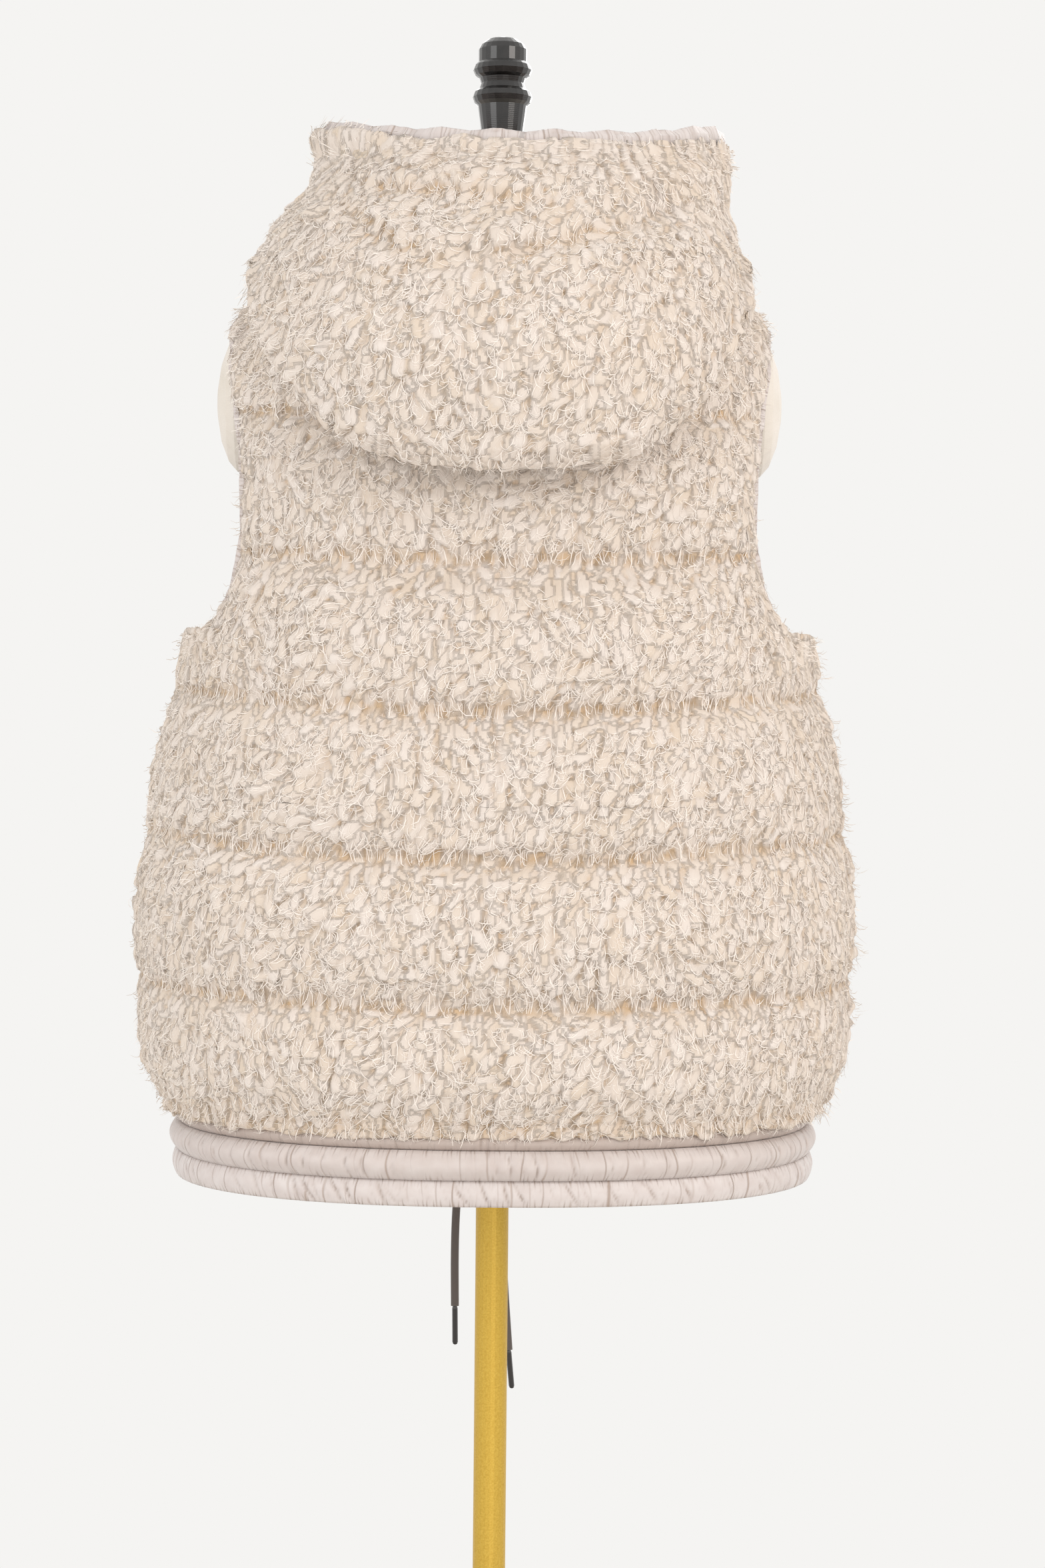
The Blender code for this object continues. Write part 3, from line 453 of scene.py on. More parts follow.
def nearness(points, trees, reach):
    # 1 on the nearest of several surfaces, falling to 0 at the reach
    far = np.full(len(points), reach)
    for tree in trees:
        gaps = [tree.find_nearest(p, reach)[3] for p in points]
        far = np.minimum(far, [reach if gap is None else gap for gap in gaps])
    return 1 - far / reach


def addSkin(name, pile, materials, sewn, outer):
    bm = nodeCopy(name)
    bm.verts.index_update()
    sides = facesOut(bm, outer)
    points = np.array([v.co for v in bm.verts])
    depth = (pile + fleece["under"]) * np.maximum(sides, 0)
    share = fleece["closing"][1] * (1 if outer else 0.5)
    depth *= 1 - share * (nearness(points, sewn, fleece["sewnReach"]) > 0)
    moves = np.array([v.normal for v in bm.verts]) * -depth[:, None]
    for v, move in zip(bm.verts, moves):
        v.co += Vector(move)
    for face in bm.faces:
        out = sum(sides[v.index] for v in face.verts) / 3
        face.material_index = 0 if out > (-0.2 if outer else -0.5) else 1
    bm.normal_update()
    mesh = meshFrom(name + "_fleece", bm)
    piece = placePiece(name + "_fleece", mesh, materials, replaced=[name])
    return piece, mesh


def skinTriangles(mesh):
    mesh.calc_loop_triangles()
    co = np.empty(len(mesh.vertices) * 3)
    mesh.vertices.foreach_get("co", co)
    normals = np.empty(len(mesh.vertices) * 3)
    mesh.vertex_normals.foreach_get("vector", normals)
    corners = np.empty(len(mesh.loop_triangles) * 3, int)
    mesh.loop_triangles.foreach_get("vertices", corners)
    owners = np.empty(len(mesh.polygons), int)
    mesh.polygons.foreach_get("material_index", owners)
    polygons = np.empty(len(mesh.loop_triangles), int)
    mesh.loop_triangles.foreach_get("polygon_index", polygons)
    corners = corners.reshape(-1, 3)[owners[polygons] == 0]
    return co.reshape(-1, 3), normals.reshape(-1, 3), corners


def scatterRoots(mesh, gap, chance):
    co, normals, corners = skinTriangles(mesh)
    a, b, c = (co[corners[:, k]] for k in range(3))
    areas = np.linalg.norm(np.cross(b - a, c - a), axis=1) / 2
    count = int(areas.sum() / gap**2 * 3.2)
    picked = chance.choice(len(areas), count, p=areas / areas.sum())
    u, v = chance.random(count), chance.random(count)
    over = u + v > 1
    u[over], v[over] = 1 - u[over], 1 - v[over]
    weights = np.stack([1 - u - v, u, v], axis=1)
    points = np.einsum("nk,nkd->nd", weights, co[corners[picked]])
    outs = np.einsum("nk,nkd->nd", weights, normals[corners[picked]])
    outs /= np.linalg.norm(outs, axis=1)[:, None]
    tree = KDTree(count)
    for i, p in enumerate(points):
        tree.insert(p, i)
    tree.balance()
    keep = np.ones(count, bool)
    for i, p in enumerate(points):
        if keep[i]:
            for _, j, _ in tree.find_range(p, gap):
                if j > i:
                    keep[j] = False
    return points[keep], outs[keep]


def unseen(points, outs, others, reach):
    # roots that another panel covers closely enough to hide the pile
    hidden = np.zeros(len(points), bool)
    for i, (p, n) in enumerate(zip(points, outs)):
        p, n = Vector(p), Vector(n)
        hidden[i] = any(tree.ray_cast(p + n * 0.002, n, reach)[0] is not None for tree in others)
    return hidden


def flowOver(points, outs, upright, chance):
    # the way each curl lies: down the cloth, turned by whorls, and up where it stands upright
    down = np.array([0.0, 0.0, -1.0]) - outs * (-outs[:, 2:3])
    down += np.array([1e-4, 0, 0])
    down /= np.linalg.norm(down, axis=1)[:, None]
    across = np.cross(outs, down)
    (wideScale, wideTurn), (fineScale, fineTurn) = fleece["whorls"], fleece["swirls"]
    wide = np.array([noise.noise(Vector(p) * wideScale) for p in points])
    fine = np.array([noise.noise(Vector(p) * fineScale + Vector((7, 3, 1))) for p in points])
    mean, stray = fleece["stray"]
    turn = mean + wideTurn * wide + fineTurn * fine + chance.normal(0, stray, len(points)) + pi * upright
    along = down * np.cos(turn)[:, None] + across * np.sin(turn)[:, None]
    return along, np.cross(outs, along)


def seamShrink(points):
    # locks are short just under a quilted seam, and full elsewhere
    size = np.ones(len(points))
    share, under, over = fleece["seamShort"]
    side = points[:, 0] ** 2 / (points[:, 0] ** 2 + points[:, 1] ** 2)
    for middle, flank in fleece["seams"]:
        below = middle + (flank - middle) * side - points[:, 2]
        near = np.where(below > 0, np.exp(-(below / under) ** 2), np.exp(-(below / over) ** 2))
        size -= share * near
    return size


def evenSurface(name, trees, side, outer):
    # the fleece side of a panel as an even mesh of small quads
    mesh = meshFrom(name + "_even", nodeCopy(name))
    holder = bpy.data.objects.new(name + "_even", mesh)
    bpy.context.scene.collection.objects.link(holder)
    even = holder.modifiers.new("even", "REMESH")
    even.mode = "VOXEL"
    even.voxel_size = side
    depsgraph = bpy.context.evaluated_depsgraph_get()
    made = bpy.data.meshes.new_from_object(holder.evaluated_get(depsgraph))
    bpy.data.objects.remove(holder)
    bpy.data.meshes.remove(mesh)
    bm = bmesh.new()
    bm.from_mesh(made)
    bpy.data.meshes.remove(made)
    bm.normal_update()
    sides = facesOut(bm, outer)
    others = [tree for other, tree in trees.items() if (other == "hood") != (name == "hood")]
    points = np.array([v.co for v in bm.verts])
    outs = np.array([v.normal for v in bm.verts])
    drop = (sides < 0) | (sides > 0.5) & unseen(points, outs, others, fleece["covered"])
    bmesh.ops.delete(bm, geom=[v for v, d in zip(bm.verts, drop) if d], context="VERTS")
    return bm, points[~drop], outs[~drop], sides[~drop]


def spread(values, edges, rounds):
    # each value drawn to the mean of its neighbours along the mesh's edges
    many = np.bincount(edges.reshape(-1), minlength=len(values))
    for _ in range(rounds):
        total = np.bincount(edges[:, 0], values[edges[:, 1]], len(values))
        total += np.bincount(edges[:, 1], values[edges[:, 0]], len(values))
        values = 0.4 * values + 0.6 * total / np.maximum(many, 1)
    return values


def rimCorners(points):
    # 1 where the pile stands as high as the satin edge: at its left corner, in a clump and in tufts
    (start, soft), (place, half, high) = fleece["corner"], fleece["rimClump"]
    scale, tall = fleece["rimTufts"]
    across = points[:, 0]
    ends = np.clip((start - across) / soft, 0, 1) + high * np.exp(-((across - place) / half) ** 2)
    tufts = np.array([noise.noise(Vector(p) * scale) for p in points])
    return np.where(points[:, 1] < 0, ends, 0) + tall * np.clip(tufts + 0.1, 0, 1)


def curlsOf(name, points, outs, edge, chance):
    count = len(points)
    upright = np.zeros(count)
    if name == "hood":
        upright = (nearness(points, [edge], fleece["upright"]) > 0) * np.clip(rimCorners(points), 0, 1)
    along, across = flowOver(points, outs, upright, chance)
    size = chance.uniform(*fleece["size"], count)
    if name != "hood":
        size *= seamShrink(points)
    scale, clump = fleece["clumps"]
    return {
        "root": points, "out": outs, "along": along, "across": across,
        "long": chance.uniform(*fleece["length"], count) * size,
        "wide": chance.uniform(*fleece["halfWidth"], count) * size,
        "rise": chance.uniform(*fleece["rise"], count) * size,
        "bend": chance.normal(0, fleece["bend"] / 2, count),
        "swell": np.array([noise.noise(Vector(p) * scale) for p in points]) * clump
        + chance.normal(0, fleece["uneven"], count),
        "tuft": np.clip(chance.normal(*fleece["warmth"], count), 0, 0.9),
        "seed": chance.uniform(0, 50, count),
    }


def raiseCurls(points, curls):
    # height of the pile at every point: the highest of the curls that cross it
    tree = KDTree(len(points))
    for i, p in enumerate(points):
        tree.insert(p, i)
    tree.balance()
    middle = curls["root"] + curls["along"] * (curls["long"] * 0.5)[:, None]
    found = [[hit[1] for hit in tree.find_range(p, reach)]
             for p, reach in zip(middle, curls["long"] * 0.62 + 0.006)]
    curl = np.repeat(np.arange(len(found)), [len(f) for f in found])
    point = np.concatenate([np.array(f, int) for f in found])
    away = points[point] - curls["root"][curl]
    u = np.sum(away * curls["along"][curl], axis=1)
    v = np.sum(away * curls["across"][curl], axis=1)
    off = np.abs(np.sum(away * curls["out"][curl], axis=1))
    long, wide = curls["long"][curl], curls["wide"][curl]
    straight = long - wide
    inside = np.clip(u, 0, straight)
    share = inside / straight
    reach = wide * (0.72 + 0.28 * np.sin(share * pi * 0.62))
    aside = v - curls["bend"][curl] * share**2
    far = (aside**2 + (u - inside) ** 2) / reach**2
    bulge = fleece["thick"] * reach * np.clip(1 - far, 0, 1) ** 0.6
    height = curls["swell"][curl] + curls["rise"][curl] * share**0.8 + bulge + fleece["floor"]
    height[(far >= 1) | (off > 0.014)] = -1   # beside the curl, or on the far side of the cloth
    order = np.argsort(height)
    top = np.full(len(points), -1.0)
    owner = np.zeros(len(points), int)
    top[point[order]] = height[order]
    owner[point[order]] = curl[order]
    strand = np.zeros((len(points), 2))
    strand[point[order], 0] = (aside / wide * fleece["strands"][0])[order]
    strand[point[order], 1] = (u / long * fleece["strands"][1])[order]
    strand += curls["seed"][owner][:, None]
    return np.maximum(top, fleece["floor"]), owner, strand


def foldsOf(points):
    # the cloth above a fold of the hood bulges over the cloth below it; how far it moves, and its shade
    move, shade = np.zeros(len(points)), np.zeros(len(points))
    (dark, darkReach), (mark, markHalf) = fleece["foldShade"], fleece["foldLine"]
    flat = points[:, [0, 2]]
    for line, bulge, half in fleece["folds"]:
        far, above, along = np.full(len(points), 1.0), np.zeros(len(points)), np.zeros(len(points))
        for i, (a, b) in enumerate(zip(line, line[1:])):
            a, b = np.array(a), np.array(b)
            share = np.clip((flat - a) @ (b - a) / ((b - a) @ (b - a)), 0, 1)
            off = flat - a - share[:, None] * (b - a)
            gap = np.linalg.norm(off, axis=1)
            nearer = gap < far
            far = np.where(nearer, gap, far)
            above = np.where(nearer, off[:, 1], above)
            along = np.where(nearer, (i + share) / (len(line) - 1), along)
        fade = np.clip(np.minimum(along, 1 - along) / 0.2, 0, 1) ** 0.5
        fade = np.where(points[:, 1] < -0.03, fade, 0)
        over = 1 / (1 + np.exp(-above / fleece["foldStep"]))
        lower = (1 - over) * 0.7 * bulge * np.exp(-far / half)
        move += fade * (over * bulge * np.exp(-far / (2.6 * half)) - lower)
        onLine = np.exp(-((above + 0.001) / markHalf) ** 2)
        shade += fade * (dark * (1 - over) * np.exp(-far / darkReach) + mark * onLine)
    return -move, shade


def seamsOf(points):
    # how far the quilted seams draw the pile in, and how much they and the hem's underside shade it
    sink, shade = np.zeros(len(points)), np.zeros(len(points))
    half, deep, dark = fleece["stitch"]
    under, underReach = fleece["seamShade"]
    hem, hemHeight, hemReach = fleece["hemShade"]
    side = points[:, 0] ** 2 / (points[:, 0] ** 2 + points[:, 1] ** 2)
    for middle, flank in fleece["seams"]:
        off = middle + (flank - middle) * side - points[:, 2]
        near = np.exp(-((off / half) ** 2))
        sink += deep * near
        shade += dark * near + np.where(off > 0, under * np.exp(-off / underReach), 0)
    return sink, shade + hem * np.clip((hemHeight - points[:, 2]) / hemReach, 0, 1)


def edgeMoves(name, points, outs, edge, sewn):
    # curls close over sewn edges, hang over the hem and stand up at the hood's rim
    # gives 1 where the pile isn't set back, and how far it moves
    wild = np.array([noise.noise(Vector(p) * 90.0) for p in points])
    if name == "hood":
        reach, rise, swell = fleece["rim"]
        near, corners = nearness(points, [edge], reach) ** 0.7, np.clip(rimCorners(points), 0, 1)
        moves = outs * (near * corners * swell)[:, None]
        moves += np.outer(near * corners * rise * (1 + 0.5 * wild), (0, 0, 1))
        return near * np.maximum(corners, 0.5), moves
    height, reach, drop, swell = fleece["hang"]
    hem = np.clip((height - points[:, 2]) / reach, 0, 1)
    radial = points * np.array([1, 1, 0])
    radial /= np.linalg.norm(radial, axis=1)[:, None]
    moves = radial * (hem * swell)[:, None] - np.outer(hem * drop * (1 + 0.9 * wild), (0, 0, 1))
    reach, share = fleece["closing"]
    return np.maximum(hem, share * nearness(points, sewn, reach) ** 0.6), moves


def pileMesh(name, bm, points, outs, sides, depth, curls, edge, sewn):
    bm.verts.index_update()
    edges = np.array([[v.index for v in e.verts] for e in bm.edges])
    height, owner, strand = raiseCurls(points - outs * depth * sides[:, None], curls)
    soft = spread(height, edges, 1)
    lean = curls["along"][owner] * (soft * fleece["lean"] * sides)[:, None]
    lean = np.stack([spread(lean[:, k], edges, 2) for k in range(3)], axis=1)
    panel = name.rsplit("_pile_", 1)[0]
    full, moves = edgeMoves(panel, points, outs, edge, sewn)
    sink, shade = foldsOf(points) if panel == "hood" else seamsOf(points)
    tall = np.maximum(soft - sink, fleece["floor"]) - depth * (1 - full)
    placed = points + outs * (tall * sides + fleece["meet"] * (1 - sides))[:, None] + lean + moves
    hollow = soft - spread(height, edges, 14)
    mean, deepest, most = fleece["lift"]
    # painted shade: lift darkens in hollows between curls, at seams, under folds and above the hem
    lift = np.clip(mean + hollow / deepest - shade, 0, most)
    for v, p in zip(bm.verts, placed):
        v.co = p
    bm.normal_update()
    mesh = meshFrom(name, bm)
    paintCopies(mesh, lift, curls["tuft"][owner])
    mapCopies(mesh, strand)
    return mesh, placed, owner


def fibreMesh(name, points, placed, outs, owner, curls, count, chance):
    # loose fibres that follow the curls: narrow ribbons of four stations
    tree = KDTree(len(points))
    for i, p in enumerate(points):
        tree.insert(p, i)
    tree.balance()
    first = chance.integers(0, len(points), count)
    own = owner[first]
    turn = chance.normal(0, fleece["fibreTurn"][0], count)
    bow = chance.normal(0, fleece["fibreTurn"][1], count)
    long = chance.uniform(*fleece["fibreLength"], count)
    loose = chance.random(count) ** 2.5
    rootLift, tipLift = fleece["fibreLift"]
    spot = points[first]
    stations, radial = [], []
    for k in range(4):
        near = np.array([tree.find(p)[1] for p in spot])
        lifted = (rootLift + tipLift * loose * (k / 3) ** 2)[:, None]
        stations.append(placed[near] + (spot - points[near]) + outs[near] * lifted)
        radial.append(outs[near])
        heading = curls["along"][own] * np.cos(turn)[:, None]
        heading = heading + curls["across"][own] * np.sin(turn)[:, None]
        spot = spot + heading * (long / 3)[:, None]
        turn = turn + bow * 0.8
    path, radial = np.stack(stations, axis=1), np.stack(radial, axis=1)
    across = np.cross(np.gradient(path, axis=1), radial)
    across /= np.linalg.norm(across, axis=2)[..., None] + 1e-9
    half = chance.uniform(*fleece["fibreWidth"], count)[:, None] / 2 * np.array(fleece["fibreTaper"])
    verts = np.stack([path - across * half[..., None], path + across * half[..., None]], axis=2)
    faces = [[2 * k, 2 * k + 1, 2 * k + 3, 2 * k + 2] for k in range(3)]
    mesh = joinCopies(name, verts.reshape(count, 8, 3), faces, 8)
    pale = np.tile(np.repeat(fleece["fibrePale"], 2), count)
    paintCopies(mesh, pale, np.repeat(curls["tuft"][own] * 0.2, 8))
    mapCopies(mesh, np.zeros((count * 8, 2)))
    return mesh


def joinCopies(name, verts, faces, perCopy):
    # one mesh of many small copies with the same faces
    count = len(verts)
    sizes = np.array([len(f) for f in faces])
    corners = np.concatenate(faces)
    mesh = bpy.data.meshes.new(name)
    mesh.vertices.add(count * perCopy)
    mesh.vertices.foreach_set("co", verts.reshape(-1).astype(np.float32))
    loops = (corners[None] + (np.arange(count) * perCopy)[:, None]).reshape(-1)
    mesh.loops.add(len(loops))
    mesh.loops.foreach_set("vertex_index", loops.astype(np.int32))
    allSizes = np.tile(sizes, count)
    mesh.polygons.add(len(allSizes))
    starts = np.concatenate([[0], np.cumsum(allSizes)[:-1]])
    mesh.polygons.foreach_set("loop_start", starts.astype(np.int32))
    mesh.polygons.foreach_set("use_smooth", np.ones(len(allSizes), bool))
    mesh.update(calc_edges=True)
    return mesh


def paintCopies(mesh, lift, tuft):
    for name, values in (("lift", lift), ("tuft", tuft)):
        layer = mesh.attributes.new(name, "FLOAT", "POINT")
        layer.data.foreach_set("value", values.astype(np.float32))


def mapCopies(mesh, uv):
    layer = mesh.uv_layers.new(name="strand")
    vertex = np.empty(len(mesh.loops), int)
    mesh.loops.foreach_get("vertex_index", vertex)
    layer.data.foreach_set("uv", uv[vertex].reshape(-1).astype(np.float32))


def takeBand(bm, low, high):
    # the part of a pile mesh whose faces lie between two heights, with its vertex numbers
    band = bm.copy()
    number = band.verts.layers.int.new("number")
    for i, v in enumerate(band.verts):
        v[number] = i
    middles = {f: f.calc_center_median().z for f in band.faces}
    gone = [f for f, z in middles.items() if not low <= z < high]
    bmesh.ops.delete(band, geom=gone, context="FACES")
    numbers = np.array([v[number] for v in band.verts])
    band.verts.layers.int.remove(number)
    return band, numbers


def dressInFleece():
    chance = np.random.default_rng(fleece["seed"])
    looks = [skinMaterial(), liningMaterial()]
    pile = fleeceMaterial()
    trees = {row[0]: BVHTree.FromBMesh(nodeCopy(row[0])) for row in fleecePanels}
    edge = BVHTree.FromBMesh(nodeCopy("hood_edge"))
    joinedNames = ["back_panel", "front_right", "front_left", "zip_tape",
                   "armhole_edge_right", "armhole_edge_left"]
    joined = {name: BVHTree.FromBMesh(nodeCopy(name)) for name in joinedNames}
    for name, depth, bands, side, fibres in fleecePanels:
        sewn = [edge] if name == "hood" else [tree for other, tree in joined.items() if other != name]
        outer = hoodOuter() if name == "hood" else None
        piece, mesh = addSkin(name, fleece[depth], looks, sewn, outer)
        roots, rootOuts = scatterRoots(mesh, fleece["gap"], chance)
        curls = curlsOf(name, roots, rootOuts, edge, chance)
        bm, points, outs, sides = evenSurface(name, trees, side, outer)
        heights = np.quantile(points[:, 2], np.linspace(0, 1, bands + 1))
        heights[-1] += 1
        for i in range(bands):
            band, numbers = takeBand(bm, heights[i], heights[i + 1])
            label = f"{name}_pile_{i + 1}"
            made, placed, owner = pileMesh(label, band, points[numbers], outs[numbers], sides[numbers],
                                           fleece[depth], curls, edge, sewn)
            placePiece(label, made, pile)
            hair = fibreMesh(f"{name}_fibres_{i + 1}", points[numbers], placed, outs[numbers], owner,
                             curls, int(len(made.polygons) * side**2 * fibres), chance)
            placePiece(f"{name}_fibres_{i + 1}", hair, pile)
            print(label, len(made.polygons) * 2, "and", len(hair.polygons) * 2, "triangles")


dressInFleece()
print("fleece is on the panels and the hood")


# Gathered satin: three casings at the hem, and the edges of armholes and hood

satin = {
    "colour": "#C9BEBA", "pale": "#D5CDCA", "shade": "#97806F",
    "columns": 900, "outerRows": 9, "ringSteps": 6000,
    "fullness": 1.12,                  # length of the flat cloth for a length of the gathered run
    "rounding": 0.70,                  # how far a casing's edges round off, as a share of its thickness
    "fineGathers": (0.0042, 0.30),     # spacing of the small puckers, and their share of the depth
    # name, top, bottom, half width, back, front, thickness, pucker spacing, depth, slant, painted shade
    "casings": [
        ("hem_strip", 0.6936, 0.6838, 0.2145, 0.1480, 0.1390, 0.006, 0.0045, 0.0012, 0.0, 0.75),
        ("hem_roll", 0.6835, 0.6648, 0.2185, 0.1525, 0.1430, 0.012, 0.0125, 0.0026, 0.0016, 0.24),
        ("hem_band", 0.6645, 0.6475, 0.2165, 0.1475, 0.1385, 0.006, 0.0115, 0.0020, 0.0042, 0.04),
    ],
    "power": 2.3,                      # how square the hem's ring is: 2 is an ellipse
    "zipHalf": 0.0078, "seed": 5,
    "edgeCuts": 5, "edgeDepth": 0.0013,
    "edgeGathers": (0.0075, 0.0035),   # spacing of the deep and the small puckers of an edge
    # name, axes that it runs round, depth tucked into the fleece, flat cut, piece that it is sewn to
    "edges": [
        ("hood_edge", (0, 1), 0.006, (0.840, 0.023), "hood_fleece"),
        ("armhole_edge_right", (1, 2), 0, (0.550, 0.0125), "back_panel_fleece"),
        ("armhole_edge_left", (1, 2), 0, (0.550, 0.0125), "back_panel_fleece"),
    ],
    # mean spacing, length, width and sway of the creases that the cloth's shader draws
    "creases": [(0.0110, 0.040, 0.09, 1.4), (0.0032, 0.014, 0.22, 1.6)], "creaseShade": 0.72,
}


def satinMaterial(name):
    # Polyester satin drawn up on a thread: smooth floats with a broad sheen, sharp thin creases
    material, tree = newMaterial(name)
    cloth = addNode(tree, "ShaderNodeUVMap", uv_map="cloth")
    # painted sheen: the noise lightens the colour in soft clouds
    soft = addNode(tree, "ShaderNodeTexNoise", {"Vector": cloth.outputs[0]},
                   {"Scale": 90.0, "Detail": 3.0})   # 11 mm clouds of sheen
    colour = setRamp(addNode(tree, "ShaderNodeValToRGB", {"Fac": soft.outputs["Fac"]}),
                     [(0.25, satin["colour"]), (0.75, satin["pale"])])
    split = addNode(tree, "ShaderNodeSeparateXYZ", {"Vector": cloth.outputs[0]})
    lines = []
    for spacing, long, width, sway in satin["creases"]:
        stretch = addNode(tree, "ShaderNodeMapping", {"Vector": cloth.outputs[0]},
                          {"Scale": (1.0 / spacing, 1.0 / long, 1.0)})
        wander = addNode(tree, "ShaderNodeTexNoise", {"Vector": stretch.outputs[0]},
                         {"Scale": 0.7, "Detail": 1.0})
        count = addNode(tree, "ShaderNodeMath", {0: split.outputs["X"]}, {1: 1.0 / spacing},
                        operation="MULTIPLY")
        place = addNode(tree, "ShaderNodeMath", {0: wander.outputs["Fac"], 2: count.outputs[0]},
                        {1: sway}, operation="MULTIPLY_ADD")
        away = addNode(tree, "ShaderNodeTexVoronoi", {"W": place.outputs[0]}, {"Scale": 1.0},
                       voronoi_dimensions="1D", feature="DISTANCE_TO_EDGE")
        line = addNode(tree, "ShaderNodeMapRange", {"Value": away.outputs["Distance"]},
                       {"From Min": 0.0, "From Max": width, "To Min": 1.0, "To Max": 0.0},
                       interpolation_type="SMOOTHSTEP")
        broken = addNode(tree, "ShaderNodeMapRange", {"Value": wander.outputs["Fac"]},
                         {"From Min": 0.38, "From Max": 0.6})
        lines.append(addNode(tree, "ShaderNodeMath", {0: line.outputs[0], 1: broken.outputs[0]},
                             operation="MULTIPLY"))
    # small creases only beside a stitched line, and the painted shade of the mesh's own folds and of a
    # casing in shade
    stitched = addNode(tree, "ShaderNodeAttribute", attribute_name="stitched")
    fine = addNode(tree, "ShaderNodeMath", {0: lines[1].outputs[0], 1: stitched.outputs["Fac"]},
                   operation="MULTIPLY")
    creaseAndShade = addNode(tree, "ShaderNodeMath", {0: lines[0].outputs[0], 1: fine.outputs[0]},
                     operation="MAXIMUM")
    fold = addNode(tree, "ShaderNodeAttribute", attribute_name="creaseAndShade")
    both = addNode(tree, "ShaderNodeMath", {0: creaseAndShade.outputs[0], 1: fold.outputs["Fac"]},
                   operation="MAXIMUM")
    # the creases and the shaded casings are painted darker, toward the shade colour: painted shade
    part = addNode(tree, "ShaderNodeMath", {0: both.outputs[0]}, {1: satin["creaseShade"]},
                   operation="MULTIPLY")
    colour = addNode(tree, "ShaderNodeMix", {0: part.outputs[0], 6: colour.outputs["Color"]},
                     {7: linear(satin["shade"])}, data_type="RGBA")
    depth = addNode(tree, "ShaderNodeMath", {0: creaseAndShade.outputs[0]}, {1: -1.0}, operation="MULTIPLY")
    bump = addNode(tree, "ShaderNodeBump", {"Height": depth.outputs[0]},
                   {"Strength": 0.6, "Distance": 0.0008})
    finishMaterial(tree, addNode(tree, "ShaderNodeBsdfPrincipled", {
        "Base Color": colour.outputs[2], "Normal": bump.outputs[0]},
        {"Roughness": 0.42, "Sheen Weight": 0.25, "Sheen Roughness": 0.35, "Specular IOR Level": 0.45}))
    return material


def mapCloth(mesh, run, rise):
    # metres along and across the cloth, which the creases are drawn by
    layer = mesh.uv_layers.new(name="cloth")
    vertex = np.empty(len(mesh.loops), int)
    mesh.loops.foreach_get("vertex_index", vertex)
    uv = np.stack([run, rise], axis=1)
    layer.data.foreach_set("uv", uv[vertex].reshape(-1).astype(np.float32))


def ringReach(angle, halfWidth, back, front):
    # distance from the middle to the hem's rounded ring
    depth = np.where(np.sin(angle) >= 0, front, back)
    power = satin["power"]
    wide, deep = np.abs(np.cos(angle) / halfWidth), np.abs(np.sin(angle)) / depth
    return (wide**power + deep**power) ** (-1 / power)


def puckers(around, up, long, spacing, depth, slant, chance):
    # sharp valleys at uneven places, with round cloth between them
    sink = np.zeros_like(around)
    at = 0.0
    while at < long:
        lean = slant * chance.uniform(0.5, 1.5)
        deep = depth * chance.uniform(0.35, 1.0)
        width = spacing * chance.uniform(0.04, 0.09)
        sway = chance.normal(0, spacing * 0.10)
        middle = at - lean * (up - 0.5) * 2 + sway * np.sin(pi * up)
        low, high = sorted(chance.uniform(-0.25, 1.25, 2))
        if chance.random() < 0.6:
            low, high = -0.3, 1.3
        fade = np.clip((up - low) / 0.2, 0, 1) * np.clip((high - up) / 0.2, 0, 1)
        gap = np.abs(around - middle)
        sink += deep * fade * np.exp(-gap / width)
        at += spacing * chance.uniform(0.55, 1.45)
    return sink


